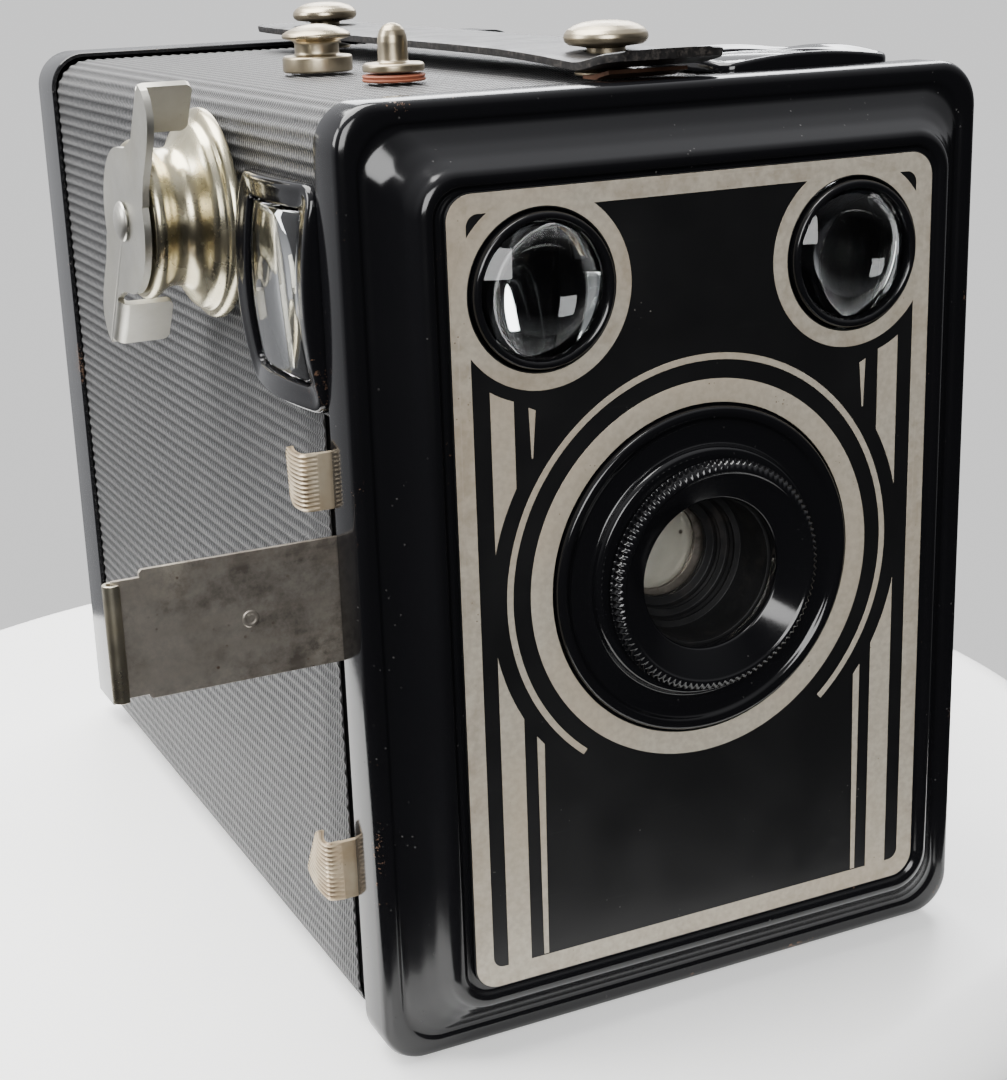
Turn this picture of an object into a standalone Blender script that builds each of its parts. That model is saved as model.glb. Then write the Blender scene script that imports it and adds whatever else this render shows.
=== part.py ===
"""A 6x9 box camera for 120 roll film, as separate solids.

Frame: +Z up, the front faces -Y, +X is to the right as seen from the front.
The origin is on the flat underside of the front frame's rim, on the centre line.
All sizes below are in millimetres, and every mesh is written in metres.
"""
import math

import bmesh
import bpy
from mathutils import Matrix, Vector

MM = 0.001
GAP = 0.3                       # clearance between pieces that touch

# Driving dimensions
HEIGHT = 107.0                  # front frame, bottom to top
WIDTH = 78.8                    # front frame, side to side
RIM_Y = -3.0                    # plane of the front frame's outer rim
FRAME_DEPTH = 5.9               # side wall of the front frame
FRAME_WALL = 0.7
FRAME_CORNER = 4.8
PLATEAU = 3.57                  # how far the frame's middle stands in front of its rim
BODY_INSET = 0.8                # how far the covering lies inside the front frame's outline
COVER_WALL = 0.4
SHELL_WALL = 0.6
SHELL_LENGTH = 122.8
BODY_DEPTH = 125.7              # rim plane to the back of the door
DOOR_RIM = 9.7

LENS_X, LENS_Z = 0.0, 54.0
FINDER_X, FINDER_Z = 19.2, 87.4
MIRROR_DEEP = 17.0              # depth of both finder mirrors' centres
SPOOL_DEEP = 41.3
TAKE_UP_Z, FEED_Z = 92.2, 15.8
SPOOL_LENGTH = 65.4
FLANGE_R, CORE_R, BORE_R = 12.4, 6.0, 2.6
SHAFT_R = 2.2
ROLLER_DEEP, ROLLER_R = 114.6, 2.6
ROLLER_Z = (101.4, 6.6)
GATE_DEEP = 116.4
SLIDE_DEEP, SLIDE_THICK = 6.4, 0.5
SLIDE_STEP = 11.5               # from one setting of the filter slide to the next
LEVER_DEEP, LEVER_THICK = 7.7, 0.6
DISC_DEEP, DISC_THICK = 8.9, 0.5
BOARD_DEEP, BOARD_THICK = 10.4, 0.8
DISC_PIVOT = (0.0, 28.0)
RELEASE_PIVOT = (-12.0, 21.0)
TIME_PIVOT = (-14.0, 67.6)
HINGE_DEEP, HINGE_Z = 124.1, 1.6
KNUCKLE_R, KNUCKLE_BORE, PIN_R = 1.6, 1.15, 0.75
RED_WINDOW_X = -17.0
STRAP_HALF_WIDTH = 7.8
STUD_DEEP = (16.3, 103.4)

HALF_W = WIDTH / 2
BODY_X = HALF_W - BODY_INSET            # outside of the covering
SHELL_X = BODY_X - COVER_WALL - GAP     # outside of the shell
COVER_Z = (BODY_INSET, HEIGHT - 0.4)
SHELL_Z = (COVER_Z[0] + COVER_WALL + GAP, COVER_Z[1] - COVER_WALL - GAP)
PLATE_FRONT = -PLATEAU - 2 * GAP - 0.1  # depth of the face plate's front


def deep(depth):
    """Y of a point that lies this far behind the plane of the front rim."""
    return RIM_Y + depth


def clear_scene():
    for old in list(bpy.data.objects):
        bpy.data.objects.remove(old, do_unlink=True)


def material(name, colour, roughness, metallic=0.0):
    made = bpy.data.materials.get(name)
    if made is None:
        made = bpy.data.materials.new(name)
        made.use_nodes = True
        shader = made.node_tree.nodes["Principled BSDF"]
        shader.inputs["Base Color"].default_value = (*colour, 1.0)
        shader.inputs["Roughness"].default_value = roughness
        shader.inputs["Metallic"].default_value = metallic
    return made


def make(name, verts, faces, paint, origin=(0, 0, 0), smooth=40):
    """A closed mesh from points in world millimetres, with its origin where the piece turns."""
    mesh = bpy.data.meshes.new(name)
    base = Vector(origin)
    mesh.from_pydata([(Vector(v) - base) * MM for v in verts], [], faces)
    work = bmesh.new()
    work.from_mesh(mesh)
    bmesh.ops.remove_doubles(work, verts=work.verts, dist=1e-6)
    bmesh.ops.recalc_face_normals(work, faces=work.faces)
    work.to_mesh(mesh)
    work.free()
    mesh.shade_smooth()
    mesh.set_sharp_from_angle(angle=math.radians(smooth))
    mesh.materials.append(material(*paint))
    made = bpy.data.objects.new(name, mesh)
    made.location = base * MM
    bpy.context.scene.collection.objects.link(made)
    return made


def loft(name, loops, paint, ring=False, **place):
    """Skin between loops of equal length; the ends are capped, or joined when it is a ring."""
    count = len(loops[0])
    verts = [point for loop in loops for point in loop]
    faces = []
    pairs = len(loops) if ring else len(loops) - 1
    for i in range(pairs):
        a, b = i * count, (i + 1) % len(loops) * count
        for k in range(count):
            n = (k + 1) % count
            faces.append((a + k, a + n, b + n, b + k))
    if not ring:
        faces.append(tuple(range(count)))
        faces.append(tuple(range(len(verts) - count, len(verts))))
    return make(name, verts, faces, paint, **place)


def along(axis, height, u, v):
    """A point at this height on an axis, with u and v on the two other axes in X, Y, Z order."""
    return {"X": (height, u, v), "Y": (u, height, v), "Z": (u, v, height)}[axis]


def prism(name, outline, axis, low, high, paint, **place):
    loops = [[along(axis, h, u, v) for u, v in outline] for h in (low, high)]
    return loft(name, loops, paint, **place)


def box(name, low, high, paint, **place):
    outline = [(low[0], low[1]), (high[0], low[1]), (high[0], high[1]), (low[0], high[1])]
    return prism(name, outline, "Z", low[2], high[2], paint, **place)


def circle(radius, centre=(0.0, 0.0), steps=24):
    return [(centre[0] + radius * math.cos(2 * math.pi * k / steps),
             centre[1] + radius * math.sin(2 * math.pi * k / steps)) for k in range(steps)]


def arc(radius, start, end, steps, centre=(0.0, 0.0)):
    """Points on an arc between two angles in degrees, both ends included."""
    angles = [math.radians(start + (end - start) * k / steps) for k in range(steps + 1)]
    return [(centre[0] + radius * math.cos(a), centre[1] + radius * math.sin(a)) for a in angles]


def rounded(x0, x1, z0, z1, radius, steps=4):
    """A rectangle's outline with round corners, anticlockwise from the lower right."""
    corners = ((x1 - radius, z0 + radius, -90), (x1 - radius, z1 - radius, 0),
               (x0 + radius, z1 - radius, 90), (x0 + radius, z0 + radius, 180))
    return [p for x, z, a in corners for p in arc(radius, a, a + 90, steps, (x, z))]


def turned(name, profile, axis, centre, paint, steps=24, **place):
    """A closed profile of (radius, height) points turned about an axis through centre.

    A profile that touches radius 0 closes on the axis, and any other makes a ring.
    """
    verts, faces, rows = [], [], []
    for radius, height in profile:
        if radius < 1e-6:
            rows.append([len(verts)] * steps)
            verts.append(along(axis, height, *centre))
            continue
        rows.append(range(len(verts), len(verts) + steps))
        verts += [along(axis, height, u, v) for u, v in circle(radius, centre, steps)]
    for i in range(len(rows)):
        a, b = rows[i], rows[(i + 1) % len(rows)]
        for k in range(steps):
            n = (k + 1) % steps
            face = list(dict.fromkeys((a[k], a[n], b[n], b[k])))
            if len(face) > 2:
                faces.append(face)
    return make(name, verts, faces, paint, **place)


def change(piece, other, operation):
    """Cut another solid from a piece, or join it on; the other solid stays hidden."""
    step = piece.modifiers.new(other.name, "BOOLEAN")
    step.operation = operation
    step.solver = "EXACT"
    step.object = other
    other.hide_render = True
    other.display_type = "WIRE"
    return piece


def cut(piece, *others):
    for other in others:
        change(piece, other, "DIFFERENCE")
    return piece


def join(piece, *others):
    for other in others:
        change(piece, other, "UNION")
    return piece


# Materials: name, colour, roughness, metallic
ENAMEL = ("black_enamel", (0.012, 0.012, 0.013), 0.18)
PLATE = ("face_plate_enamel", (0.02, 0.02, 0.02), 0.35)
COVERING = ("ribbed_covering", (0.045, 0.045, 0.047), 0.5)
INNER = ("inner_black", (0.02, 0.02, 0.02), 0.6)
NICKEL = ("aged_nickel", (0.62, 0.58, 0.47), 0.3, 1.0)
STEEL = ("tarnished_steel", (0.22, 0.2, 0.17), 0.45, 1.0)
BLADE = ("shutter_steel", (0.55, 0.53, 0.48), 0.5, 0.6)
BRASS = ("brass", (0.6, 0.45, 0.2), 0.35, 1.0)
COPPER = ("copper", (0.4, 0.22, 0.12), 0.45, 1.0)
GLASS = ("glass", (0.9, 0.92, 0.92), 0.03)
MIRROR = ("mirror", (0.8, 0.8, 0.8), 0.05, 1.0)
LEATHER = ("strap_leather", (0.03, 0.028, 0.027), 0.6)
FIBRE = ("red_fibre", (0.32, 0.1, 0.05), 0.7)
YELLOW = ("yellow_filter_glass", (0.85, 0.65, 0.05), 0.05)
RED = ("red_window", (0.5, 0.02, 0.01), 0.2)
SPOOL = ("spool_black", (0.03, 0.03, 0.03), 0.5)


# Front ----------------------------------------------------------------------------------------

def frame_loop(inset, depth, radius):
    """One rounded loop of the front frame, this far inside its outline."""
    outline = rounded(-HALF_W + inset, HALF_W - inset, inset, HEIGHT - inset, radius)
    return [(x, deep(depth), z) for x, z in outline]


def front_frame():
    """Pressed frame: a flat lip, a wide cove that rises to a plateau, and a groove round the plate."""
    outside = [(0.0, FRAME_DEPTH), (0.0, 1.0), (0.3, 0.3), (1.0, 0.0), (2.2, 0.0), (2.7, 0.25),
               (3.3, 0.1), (4.6, -0.9), (5.8, -2.1), (6.6, -3.2), (7.1, -3.8), (7.8, -4.15),
               (8.4, -4.1), (8.7, -PLATEAU)]
    wall = FRAME_WALL
    inside = [(8.9, -PLATEAU + wall), (7.6, -3.1), (6.7, -2.0), (5.4, -0.6), (3.9, 0.7),
              (2.6, 0.95), (wall + 0.4, 0.8), (wall, 1.2), (wall, FRAME_DEPTH)]

    def corner(inset):
        return FRAME_CORNER if inset < 6.6 else FRAME_CORNER - 0.8 * (inset - 6.6)

    loops = [frame_loop(e, d, corner(e) - (wall if e < 6.6 else 0.4)) for e, d in inside]
    loops += [frame_loop(e, d, corner(e)) for e, d in outside]
    piece = loft("front_frame", loops, ENAMEL)
    holes = [("lens_hole", LENS_X, LENS_Z, 9.4), ("left_finder_hole", -FINDER_X, FINDER_Z, 8.45),
             ("right_finder_hole", FINDER_X, FINDER_Z, 8.45)]
    for name, x, z, radius in holes:
        cutter = prism("frame_" + name, circle(radius, (x, z), 48), "Y", deep(-8), deep(4), ENAMEL)
        cut(piece, cutter)
    return piece


def face_plate():
    """Thin lacquered plate on the frame's plateau, with the lens hole and two finder holes."""
    outline = rounded(-29.88, 29.88, 9.34, 97.98, 2.9)
    piece = prism("face_plate", outline, "Y", deep(PLATE_FRONT), deep(-PLATEAU - GAP), PLATE)
    holes = [("lens", LENS_X, LENS_Z, 19.0), ("left", -FINDER_X, FINDER_Z, 8.45),
             ("right", FINDER_X, FINDER_Z, 8.45)]
    for name, x, z, radius in holes:
        cutter = prism("plate_hole_" + name, circle(radius, (x, z), 64), "Y", deep(-8), deep(0), PLATE)
        cut(piece, cutter)
    return piece


def lens_surround():
    """Black dish round the lens: a bead outside, a flat floor and a step up to the hood ring."""
    back = deep(-PLATEAU - GAP)
    front = [(18.7, -4.6), (18.45, -4.95), (18.0, -5.05), (17.5, -4.85), (17.1, -4.5),
             (16.6, -4.35), (14.6, -4.35), (14.3, -4.5), (14.0, -5.15), (13.6, -5.35),
             (9.5, -5.35)]
    profile = [(18.7, back)] + [(r, deep(d)) for r, d in front] + [(9.5, back)]
    return turned("lens_surround", profile, "Y", (LENS_X, LENS_Z), ENAMEL, steps=40)


def hood_ring():
    """Lens hood: a knurled collar outside, a polished cone inside and a short neck behind."""
    front = [(13.2, -6.4), (13.2, -7.35), (13.0, -7.6), (12.5, -7.65), (12.2, -7.5),
             (8.6, -5.9), (8.6, -4.5), (9.15, -4.5), (9.15, -5.75), (12.6, -5.75),
             (12.6, -6.2)]
    profile = [(r, deep(d)) for r, d in front]
    return turned("hood_ring", profile, "Y", (LENS_X, LENS_Z), ENAMEL, steps=40)


def lens_tube():
    """Stepped black tube between the hood and the filter slide."""
    steps = [(9.1, -4.2), (9.1, 5.2), (5.6, 5.2), (5.6, 4.4), (6.6, 4.4), (6.6, 3.0),
             (7.5, 3.0), (7.5, 1.4), (8.4, 1.4), (8.4, -4.2)]
    profile = [(r, deep(d)) for r, d in steps]
    return turned("lens_tube", profile, "Y", (LENS_X, LENS_Z), INNER, steps=28)


def finder_front(side, x):
    """One finder lens in its black barrel, whose front edge is rolled over the glass."""
    barrel = [(8.15, 3.0), (8.15, -4.7), (7.95, -5.05), (7.6, -5.15), (7.3, -4.95), (7.2, -4.6),
              (7.2, -2.2), (7.2, 1.0), (6.2, 1.0), (6.2, 1.6), (7.2, 1.6), (7.2, 3.0)]
    turned("finder_bezel_" + side, [(r, deep(d)) for r, d in barrel], "Y", (x, FINDER_Z),
           ENAMEL, steps=28)
    rise, half = 1.9, 6.9
    curve = (half * half + rise * rise) / (2 * rise)
    bulge = [(half * k / 4, math.sqrt(curve ** 2 - (half * k / 4) ** 2) - curve + rise)
             for k in range(5)]
    front = [(r, deep(-4.3 - b)) for r, b in bulge]
    back = [(r, deep(-2.5 + b)) for r, b in reversed(bulge)]
    turned("finder_lens_" + side, front + back, "Y", (x, FINDER_Z), GLASS)


# Finder windows and mirrors -------------------------------------------------------------------

def window(name, place, half_u, half_v, crest, fall):
    """A pressed frame that bulges towards its middle, round a bulged pane of glass.

    place maps (u, v, height) to X, Y, Z, and the bulge is crest - (distance from middle)^2 / fall.
    """
    def bulge(u, v):
        return crest - (u * u + v * v) / fall

    def loop(hu, hv, radius, lift):
        points = rounded(-hu, hu, -hv, hv, radius, 3)
        return [place(u, v, lift(u, v)) for u, v in points]

    def level(height):
        return lambda u, v: height

    def sunk(depth):
        return lambda u, v: bulge(u, v) - depth

    open_u, open_v = half_u - 2.9, half_v - 2.7
    loops = [loop(half_u, half_v, 2.2, level(GAP)),
             loop(half_u, half_v, 2.2, sunk(0.35)),
             loop(half_u - 0.3, half_v - 0.3, 2.0, sunk(0.05)),
             loop(half_u - 0.8, half_v - 0.8, 1.6, sunk(0.1)),
             loop(open_u + 0.3, open_v + 0.3, 1.2, sunk(0.7)),
             loop(open_u, open_v, 1.0, sunk(1.0)),
             loop(open_u, open_v, 1.0, level(GAP))]
    loft(name + "_frame", loops, ENAMEL, ring=True)
    pane_u, pane_v = open_u - GAP, open_v - GAP
    rings = [loop(0.5 * pane_u, 0.5 * pane_v, 0.4, level(-0.9)),
             loop(pane_u, pane_v, 0.8, level(-0.9))]
    rings += [loop(pane_u * s, pane_v * s, 0.8 * s, sunk(1.2)) for s in (1.0, 0.75, 0.5, 0.25)]
    loft(name + "_glass", rings, GLASS)


def side_window():
    def place(u, v, height):
        return (-BODY_X - height, deep(MIRROR_DEEP + 0.3) + u, 86.7 + v)
    window("side_window", place, 11.0, 12.0, 3.9, 90.0)


def top_window():
    def place(u, v, height):
        return (20.6 + u, deep(MIRROR_DEEP) + v, COVER_Z[1] + height)
    window("top_window", place, 11.4, 10.8, 2.9, 130.0)


def mirrors():
    """Two mirrors at 45 degrees: the left one looks out to the side, the right one upwards."""
    reach, thick = 9.6, 0.8 / math.sqrt(2)
    y = deep(MIRROR_DEEP)
    x = -FINDER_X
    flat = [(x - reach, y + reach), (x + reach, y - reach),
            (x + reach + thick, y - reach + thick), (x - reach + thick, y + reach + thick)]
    prism("finder_mirror_left", flat, "Z", 77.6, 97.2, MIRROR)
    z = FINDER_Z
    upright = [(y - reach, z - reach), (y + reach, z + reach),
               (y + reach + thick, z + reach - thick), (y - reach + thick, z - reach - thick)]
    prism("finder_mirror_right", upright, "X", FINDER_X - reach, FINDER_X + reach, MIRROR)


def mirror_brackets():
    """Bent plates behind the mirrors, each with a foot."""
    reach = 9.9
    near, far = 1.2 / math.sqrt(2), 1.9 / math.sqrt(2)
    y, x, z = deep(MIRROR_DEEP), -FINDER_X, FINDER_Z
    plate = [(x - reach + near, y + reach + near), (x + reach + near, y - reach + near),
             (x + reach + far, y - reach + far), (x - reach + far, y + reach + far)]
    left = prism("mirror_bracket_left", plate, "Z", 76.4, 98.0, INNER)
    foot = [(x - reach + near, y + reach + near), (x + reach + near, y - reach + near),
            (x + reach + 2.6, y - reach + 2.6), (x - reach + 2.6, y + reach + 2.6)]
    join(left, prism("left_bracket_foot", foot, "Z", 97.4, 98.6, INNER))
    slope = [(y - reach + near, z - reach - near), (y + reach + near, z + reach - near),
             (y + reach + far, z + reach - far), (y + reach + far, z + reach - far - 4.0),
             (y + reach + far - 0.7, z + reach - far - 4.0),
             (y + reach + far - 0.7, z + reach - far - 0.6),
             (y - reach + far, z - reach - far)]
    prism("mirror_bracket_right", slope, "X", FINDER_X - reach, FINDER_X + reach, INNER)


# Shutter --------------------------------------------------------------------------------------

def slide_channel():
    """Folded guide that the filter slide runs in, in front of the levers."""
    low, high = 44.9, 63.3
    outline = [(deep(5.5), low), (deep(7.3), low), (deep(7.3), 46.4), (deep(5.95), 46.4),
               (deep(5.95), 61.9), (deep(7.3), 61.9), (deep(7.3), high), (deep(5.5), high)]
    piece = prism("slide_channel", outline, "X", -36.4, 34.5, INNER)
    cut(piece, prism("channel_hole", circle(7.0, (LENS_X, LENS_Z)), "Y", deep(4), deep(8), INNER))


def filter_slide():
    """Flat strip with three openings and a rolled grip: filter, small stop and full stop."""
    low, high = 47.5, 61.6
    neck_low, neck_high = 48.0, 60.8
    shoulder, grip_x, grip_r = -60.9, -63.8, 0.95
    front, back = deep(SLIDE_DEEP), deep(SLIDE_DEEP + SLIDE_THICK)
    outline = [(9.0, low), (9.0, high), (shoulder, high), (shoulder, neck_high),
               (grip_x, neck_high), (grip_x, neck_low), (shoulder, neck_low), (shoulder, low)]
    piece = prism("filter_slide", outline, "Y", front, back, STEEL)
    grip = prism("slide_grip", circle(grip_r, (grip_x, (front + back) / 2), 16), "Z",
                 47.7, 60.5, STEEL)
    join(piece, grip)
    for index, radius in enumerate((5.3, 3.1, 4.5)):
        centre = (LENS_X - index * SLIDE_STEP, LENS_Z)
        cut(piece, prism("stop_%d" % index, circle(radius, centre), "Y", front - 1, back + 1, STEEL))
    prism("yellow_filter", circle(6.3, (LENS_X, LENS_Z), 28), "Y", deep(7.2), deep(7.5), YELLOW)


def lever_arm(name, outline, tab, pivot):
    """A flat lever on its pivot, whose outer end turns back along the side as a thumb tab."""
    low, high = deep(LEVER_DEEP), deep(LEVER_DEEP + LEVER_THICK)
    place = (pivot[0], (low + high) / 2, pivot[1])
    piece = prism(name, outline, "Y", low, high, NICKEL, origin=place)
    join(piece, curved_tab(name + "_tab", *tab))
    cut(piece, prism(name + "_bore", circle(1.9, pivot, 24), "Y", low - 1, high + 1, NICKEL))


def curved_tab(name, low, high, end_low, end_high, rise):
    """A thumb tab: leaves the slot outwards, then bends back and lies along the body's side.

    Its lower and upper edges end at these depths, and the upper one climbs by rise on its way.
    """
    stations = 4
    thick, start, turn = 0.65, -40.4, 1.9
    side = start - turn
    centre = (start, deep(LEVER_DEEP) + turn)
    loops = []
    for k in range(stations + 1):
        share = k / stations
        reach = end_low + (end_high - end_low) * share
        middle = (reach + LEVER_DEEP) / 2 + 1.0
        base = low + (high - low) * share
        tip = base + rise * share
        outer = [(x, y, base) for x, y in arc(turn, -90, -180, 4, centre)]
        outer += [(side - 0.25, deep(middle), (base + tip) / 2), (side + 0.1, deep(reach), tip)]
        inner = [(x, y, base) for x, y in arc(turn - thick, -90, -180, 4, centre)]
        inner += [(side - 0.25 + thick, deep(middle), (base + tip) / 2),
                  (side + 0.1 + thick, deep(reach), tip)]
        loops.append(outer + inner[::-1])
    return loft(name, loops, NICKEL)


def levers():
    px, pz = RELEASE_PIVOT
    arm = [(-40.6, 18.3), (-34.0, 18.3), (px, pz - 3.2)] + arc(3.2, -90, 0, 4, (px, pz))
    arm += [(px + 3.2, pz + 9.0), (px + 0.6, pz + 9.0), (px - 0.8, pz + 3.4), (-34.0, 25.4),
            (-40.6, 25.4)]
    lever_arm("release_lever", arm, (18.3, 25.4, 15.2, 10.9, 0.9), RELEASE_PIVOT)
    px, pz = TIME_PIVOT
    arm = [(-40.6, 64.3), (-34.0, 64.3), (px, pz - 3.0)] + arc(3.0, -90, 90, 8, (px, pz))
    arm += [(-34.0, 70.6), (-40.6, 70.6)]
    lever_arm("time_lever", arm, (64.3, 70.6, 12.0, 12.6, 0.2), TIME_PIVOT)


def shutter_board():
    """Plate across the body that carries the lens, and the three pins staked into it."""
    outline = rounded(-36.8, 36.8, 2.6, 75.2, 4.0, 3)
    piece = prism("shutter_board", outline, "Y", deep(BOARD_DEEP), deep(BOARD_DEEP + BOARD_THICK),
                  INNER)
    light = circle(5.6, (LENS_X, LENS_Z))
    cut(piece, prism("board_hole", light, "Y", deep(8), deep(14), INNER))
    pins = [("disc_pin", DISC_PIVOT, 8.5), ("release_pin", RELEASE_PIVOT, 7.4),
            ("time_pin", TIME_PIVOT, 7.4)]
    back = BOARD_DEEP + BOARD_THICK
    for name, centre, front in pins:
        profile = [(0, front), (1.5, front), (1.5, back - 0.1), (2.6, back - 0.1),
                   (2.6, back + 0.5), (2.0, back + 0.8), (0, back + 0.8)]
        pin = turned(name, [(r, deep(d)) for r, d in profile], "Y", centre, INNER, steps=16)
        join(piece, pin)


def shutter_disc():
    """Sector blade: it covers the lens at both ends of its turn and its hole passes in between."""
    px, pz = DISC_PIVOT
    outline = arc(33.0, 74, 166, 16, DISC_PIVOT) + arc(5.0, 180, 420, 10, DISC_PIVOT)
    low, high = deep(DISC_DEEP), deep(DISC_DEEP + DISC_THICK)
    piece = prism("shutter_disc", outline, "Y", low, high, BLADE,
                  origin=(px, (low + high) / 2, pz))
    turn = math.radians(120)
    window_centre = (px + 26.0 * math.cos(turn), pz + 26.0 * math.sin(turn))
    cut(piece, prism("disc_window", circle(6.0, window_centre), "Y", low - 1, high + 1, BLADE),
        prism("disc_bore", circle(1.9, DISC_PIVOT, 24), "Y", low - 1, high + 1, BLADE))


def shutter_spring():
    """Hair spring that snaps the blade over: two flat turns of wire round the release pivot."""
    wire, turns, points = 0.2, 1.75, 40
    x, z = RELEASE_PIVOT
    loops = []
    for k in range(points + 1):
        angle = 2 * math.pi * turns * k / points
        radius = 3.0 + 1.6 * k / points
        loops.append([(x + (radius + wire * math.cos(a)) * math.cos(angle),
                       deep(9.75) + wire * math.sin(a),
                       z + (radius + wire * math.cos(a)) * math.sin(angle))
                      for a in [math.pi / 2 * q for q in range(4)]])
    loft("shutter_spring", loops, NICKEL)


def lens_group():
    """Meniscus lens behind the shutter, and the ring that holds it."""
    half, front_rise, back_rise = 6.8, 1.0, 1.6
    def sag(rise, r):
        curve = (half * half + rise * rise) / (2 * rise)
        return math.sqrt(curve ** 2 - r * r) - curve + rise
    radii = [half * k / 4 for k in range(5)]
    front = [(r, deep(13.2 + sag(front_rise, r))) for r in radii]
    back = [(r, deep(14.8 + sag(back_rise, r))) for r in reversed(radii)]
    turned("meniscus_lens", front + back, "Y", (LENS_X, LENS_Z), GLASS)
    ring = [(9.4, 11.6), (9.4, 12.6), (8.2, 12.9), (8.2, 16.9), (7.1, 16.9), (7.1, 12.7),
            (6.0, 12.7), (6.0, 11.6)]
    turned("lens_retaining_ring", [(r, deep(d)) for r, d in ring], "Y", (LENS_X, LENS_Z), INNER)


# Body -----------------------------------------------------------------------------------------

def sleeve(name, half_x, z_range, radius, wall, front, back, paint):
    """A rectangular tube with round edges that runs front to back."""
    def loop(inset, depth):
        points = rounded(-half_x + inset, half_x - inset, z_range[0] + inset,
                         z_range[1] - inset, radius - inset)
        return [(x, deep(depth), z) for x, z in points]
    loops = [loop(0, front), loop(0, back), loop(wall, back), loop(wall, front)]
    return loft(name, loops, paint, ring=True)


def body_openings(name):
    """Cutters for what passes through the body's walls: slot, windows, winder, studs, bushes."""
    shaft = (deep(SPOOL_DEEP), TAKE_UP_Z)
    slot = box(name + "_slot", (-50, deep(5.2), 3.4), (-34, deep(10.2), 74.2), INNER)
    side = box(name + "_side_window", (-50, deep(9.0), 77.4), (-34, deep(25.4), 96.0), INNER)
    top = box(name + "_top_window", (12.1, deep(8.9), 100), (29.1, deep(25.1), 112), INNER)
    winder = prism(name + "_winder", circle(3.7, shaft, 28), "X", -50, -34, INNER)
    holes = [slot, side, top, winder]
    bushes = [("bottom", "Z", (0.0, deep(62.0)), -3, 6), ("side", "X", (deep(62.0), 54.0), 34, 44)]
    for label, axis, centre, low, high in bushes:
        holes.append(prism(name + "_bush_" + label, circle(5.3, centre), axis, low, high, INNER))
    return holes


def body():
    """Steel shell with its ribbed covering, open at both ends."""
    shell = sleeve("body_shell", SHELL_X, SHELL_Z, 4.4, SHELL_WALL, 1.7, SHELL_LENGTH, INNER)
    cut(shell, *body_openings("shell"))
    cut(shell, box("shell_hinge_room", (-26, deep(122.0), -1), (26, deep(130), 6), INNER))
    covering = sleeve("body_covering", BODY_X, COVER_Z, 5.1, COVER_WALL, 6.3, 115.6, COVERING)
    cut(covering, *body_openings("covering"))


def tripod_bushes():
    """Threaded tripod sockets in the bottom and in the right side, drawn as plain blind bushes."""
    wall = SHELL_Z[0] + SHELL_WALL + GAP
    profile = [(0, wall + 3.9), (5.0, wall + 3.9), (5.0, SHELL_Z[0] - 0.5), (3.1, SHELL_Z[0] - 0.5),
               (3.1, wall + 2.9), (0, wall + 2.9)]
    turned("tripod_bush_bottom", profile, "Z", (0.0, deep(62.0)), STEEL, steps=28)
    inner = SHELL_X - SHELL_WALL - GAP
    profile = [(0, inner - 1.9), (5.0, inner - 1.9), (5.0, SHELL_X + 0.5), (3.1, SHELL_X + 0.5),
               (3.1, inner - 0.9), (0, inner - 0.9)]
    turned("tripod_bush_side", profile, "X", (deep(62.0), 54.0), STEEL, steps=28)


# Film path ------------------------------------------------------------------------------------

def film_carrier():
    """Light cone, film gate and two side plates that hold the spools and rollers."""
    def frame(half_x, half_z, depth):
        return [(x * half_x, deep(depth), LENS_Z + z * half_z)
                for x, z in ((-1, -1), (1, -1), (1, 1), (-1, 1))]
    front, back, wall = 17.4, GATE_DEEP - GAP, 0.5
    loops = [frame(10.0, 10.0, front), frame(29.3, 43.3, back),
             frame(29.3 - wall, 43.3 - wall, back), frame(10.0 - wall, 10.0 - wall, front)]
    loft("film_cone", loops, INNER, ring=True)
    sleeve("film_gate", 33.1, (9.4, 98.6), 4.0, 3.8, GATE_DEEP, GATE_DEEP + 0.8, INNER)
    for side, x in (("left", -34.2), ("right", 33.6)):
        carrier_side(side, x)


def carrier_side(side, x):
    """Side plate with bearing holes for the rollers and stubs on which the spools turn."""
    outline = rounded(deep(29.0), deep(118.0), 3.2, 104.2, 2.0, 2)
    plate = prism("carrier_side_" + side, outline, "X", x, x + 0.6, INNER)
    bearings = [(ROLLER_DEEP, z, 1.3) for z in ROLLER_Z]
    stubs = [FEED_Z, TAKE_UP_Z]
    if side == "left":
        bearings.append((SPOOL_DEEP, TAKE_UP_Z, BORE_R))
        stubs = [FEED_Z]
    for index, (depth, z, radius) in enumerate(bearings):
        hole = circle(radius, (deep(depth), z), 24)
        cut(plate, prism("%s_hole_%d" % (side, index), hole, "X", x - 1, x + 2, INNER))
    sign = -1 if side == "left" else 1
    for index, z in enumerate(stubs):
        profile = [(0, 29.5), (2.0, 29.5), (SHAFT_R, 30.0), (SHAFT_R, 34.0), (4.0, 34.0),
                   (4.0, 34.9), (0, 34.9)]
        stub = turned("%s_stub_%d" % (side, index), [(r, sign * h) for r, h in profile], "X",
                      (deep(SPOOL_DEEP), z), INNER, steps=20)
        join(plate, stub)


def spool(name, z):
    """A 120 film spool: a core between two round flanges, bored for the key and the stubs."""
    half = SPOOL_LENGTH / 2
    profile = [(BORE_R, -half), (FLANGE_R, -half), (FLANGE_R, -half + 0.8), (CORE_R, -half + 0.8),
               (CORE_R, half - 0.8), (FLANGE_R, half - 0.8), (FLANGE_R, half), (BORE_R, half)]
    centre = (deep(SPOOL_DEEP), z)
    turned(name, profile, "X", centre, SPOOL, steps=28, origin=(0, *centre))


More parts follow.
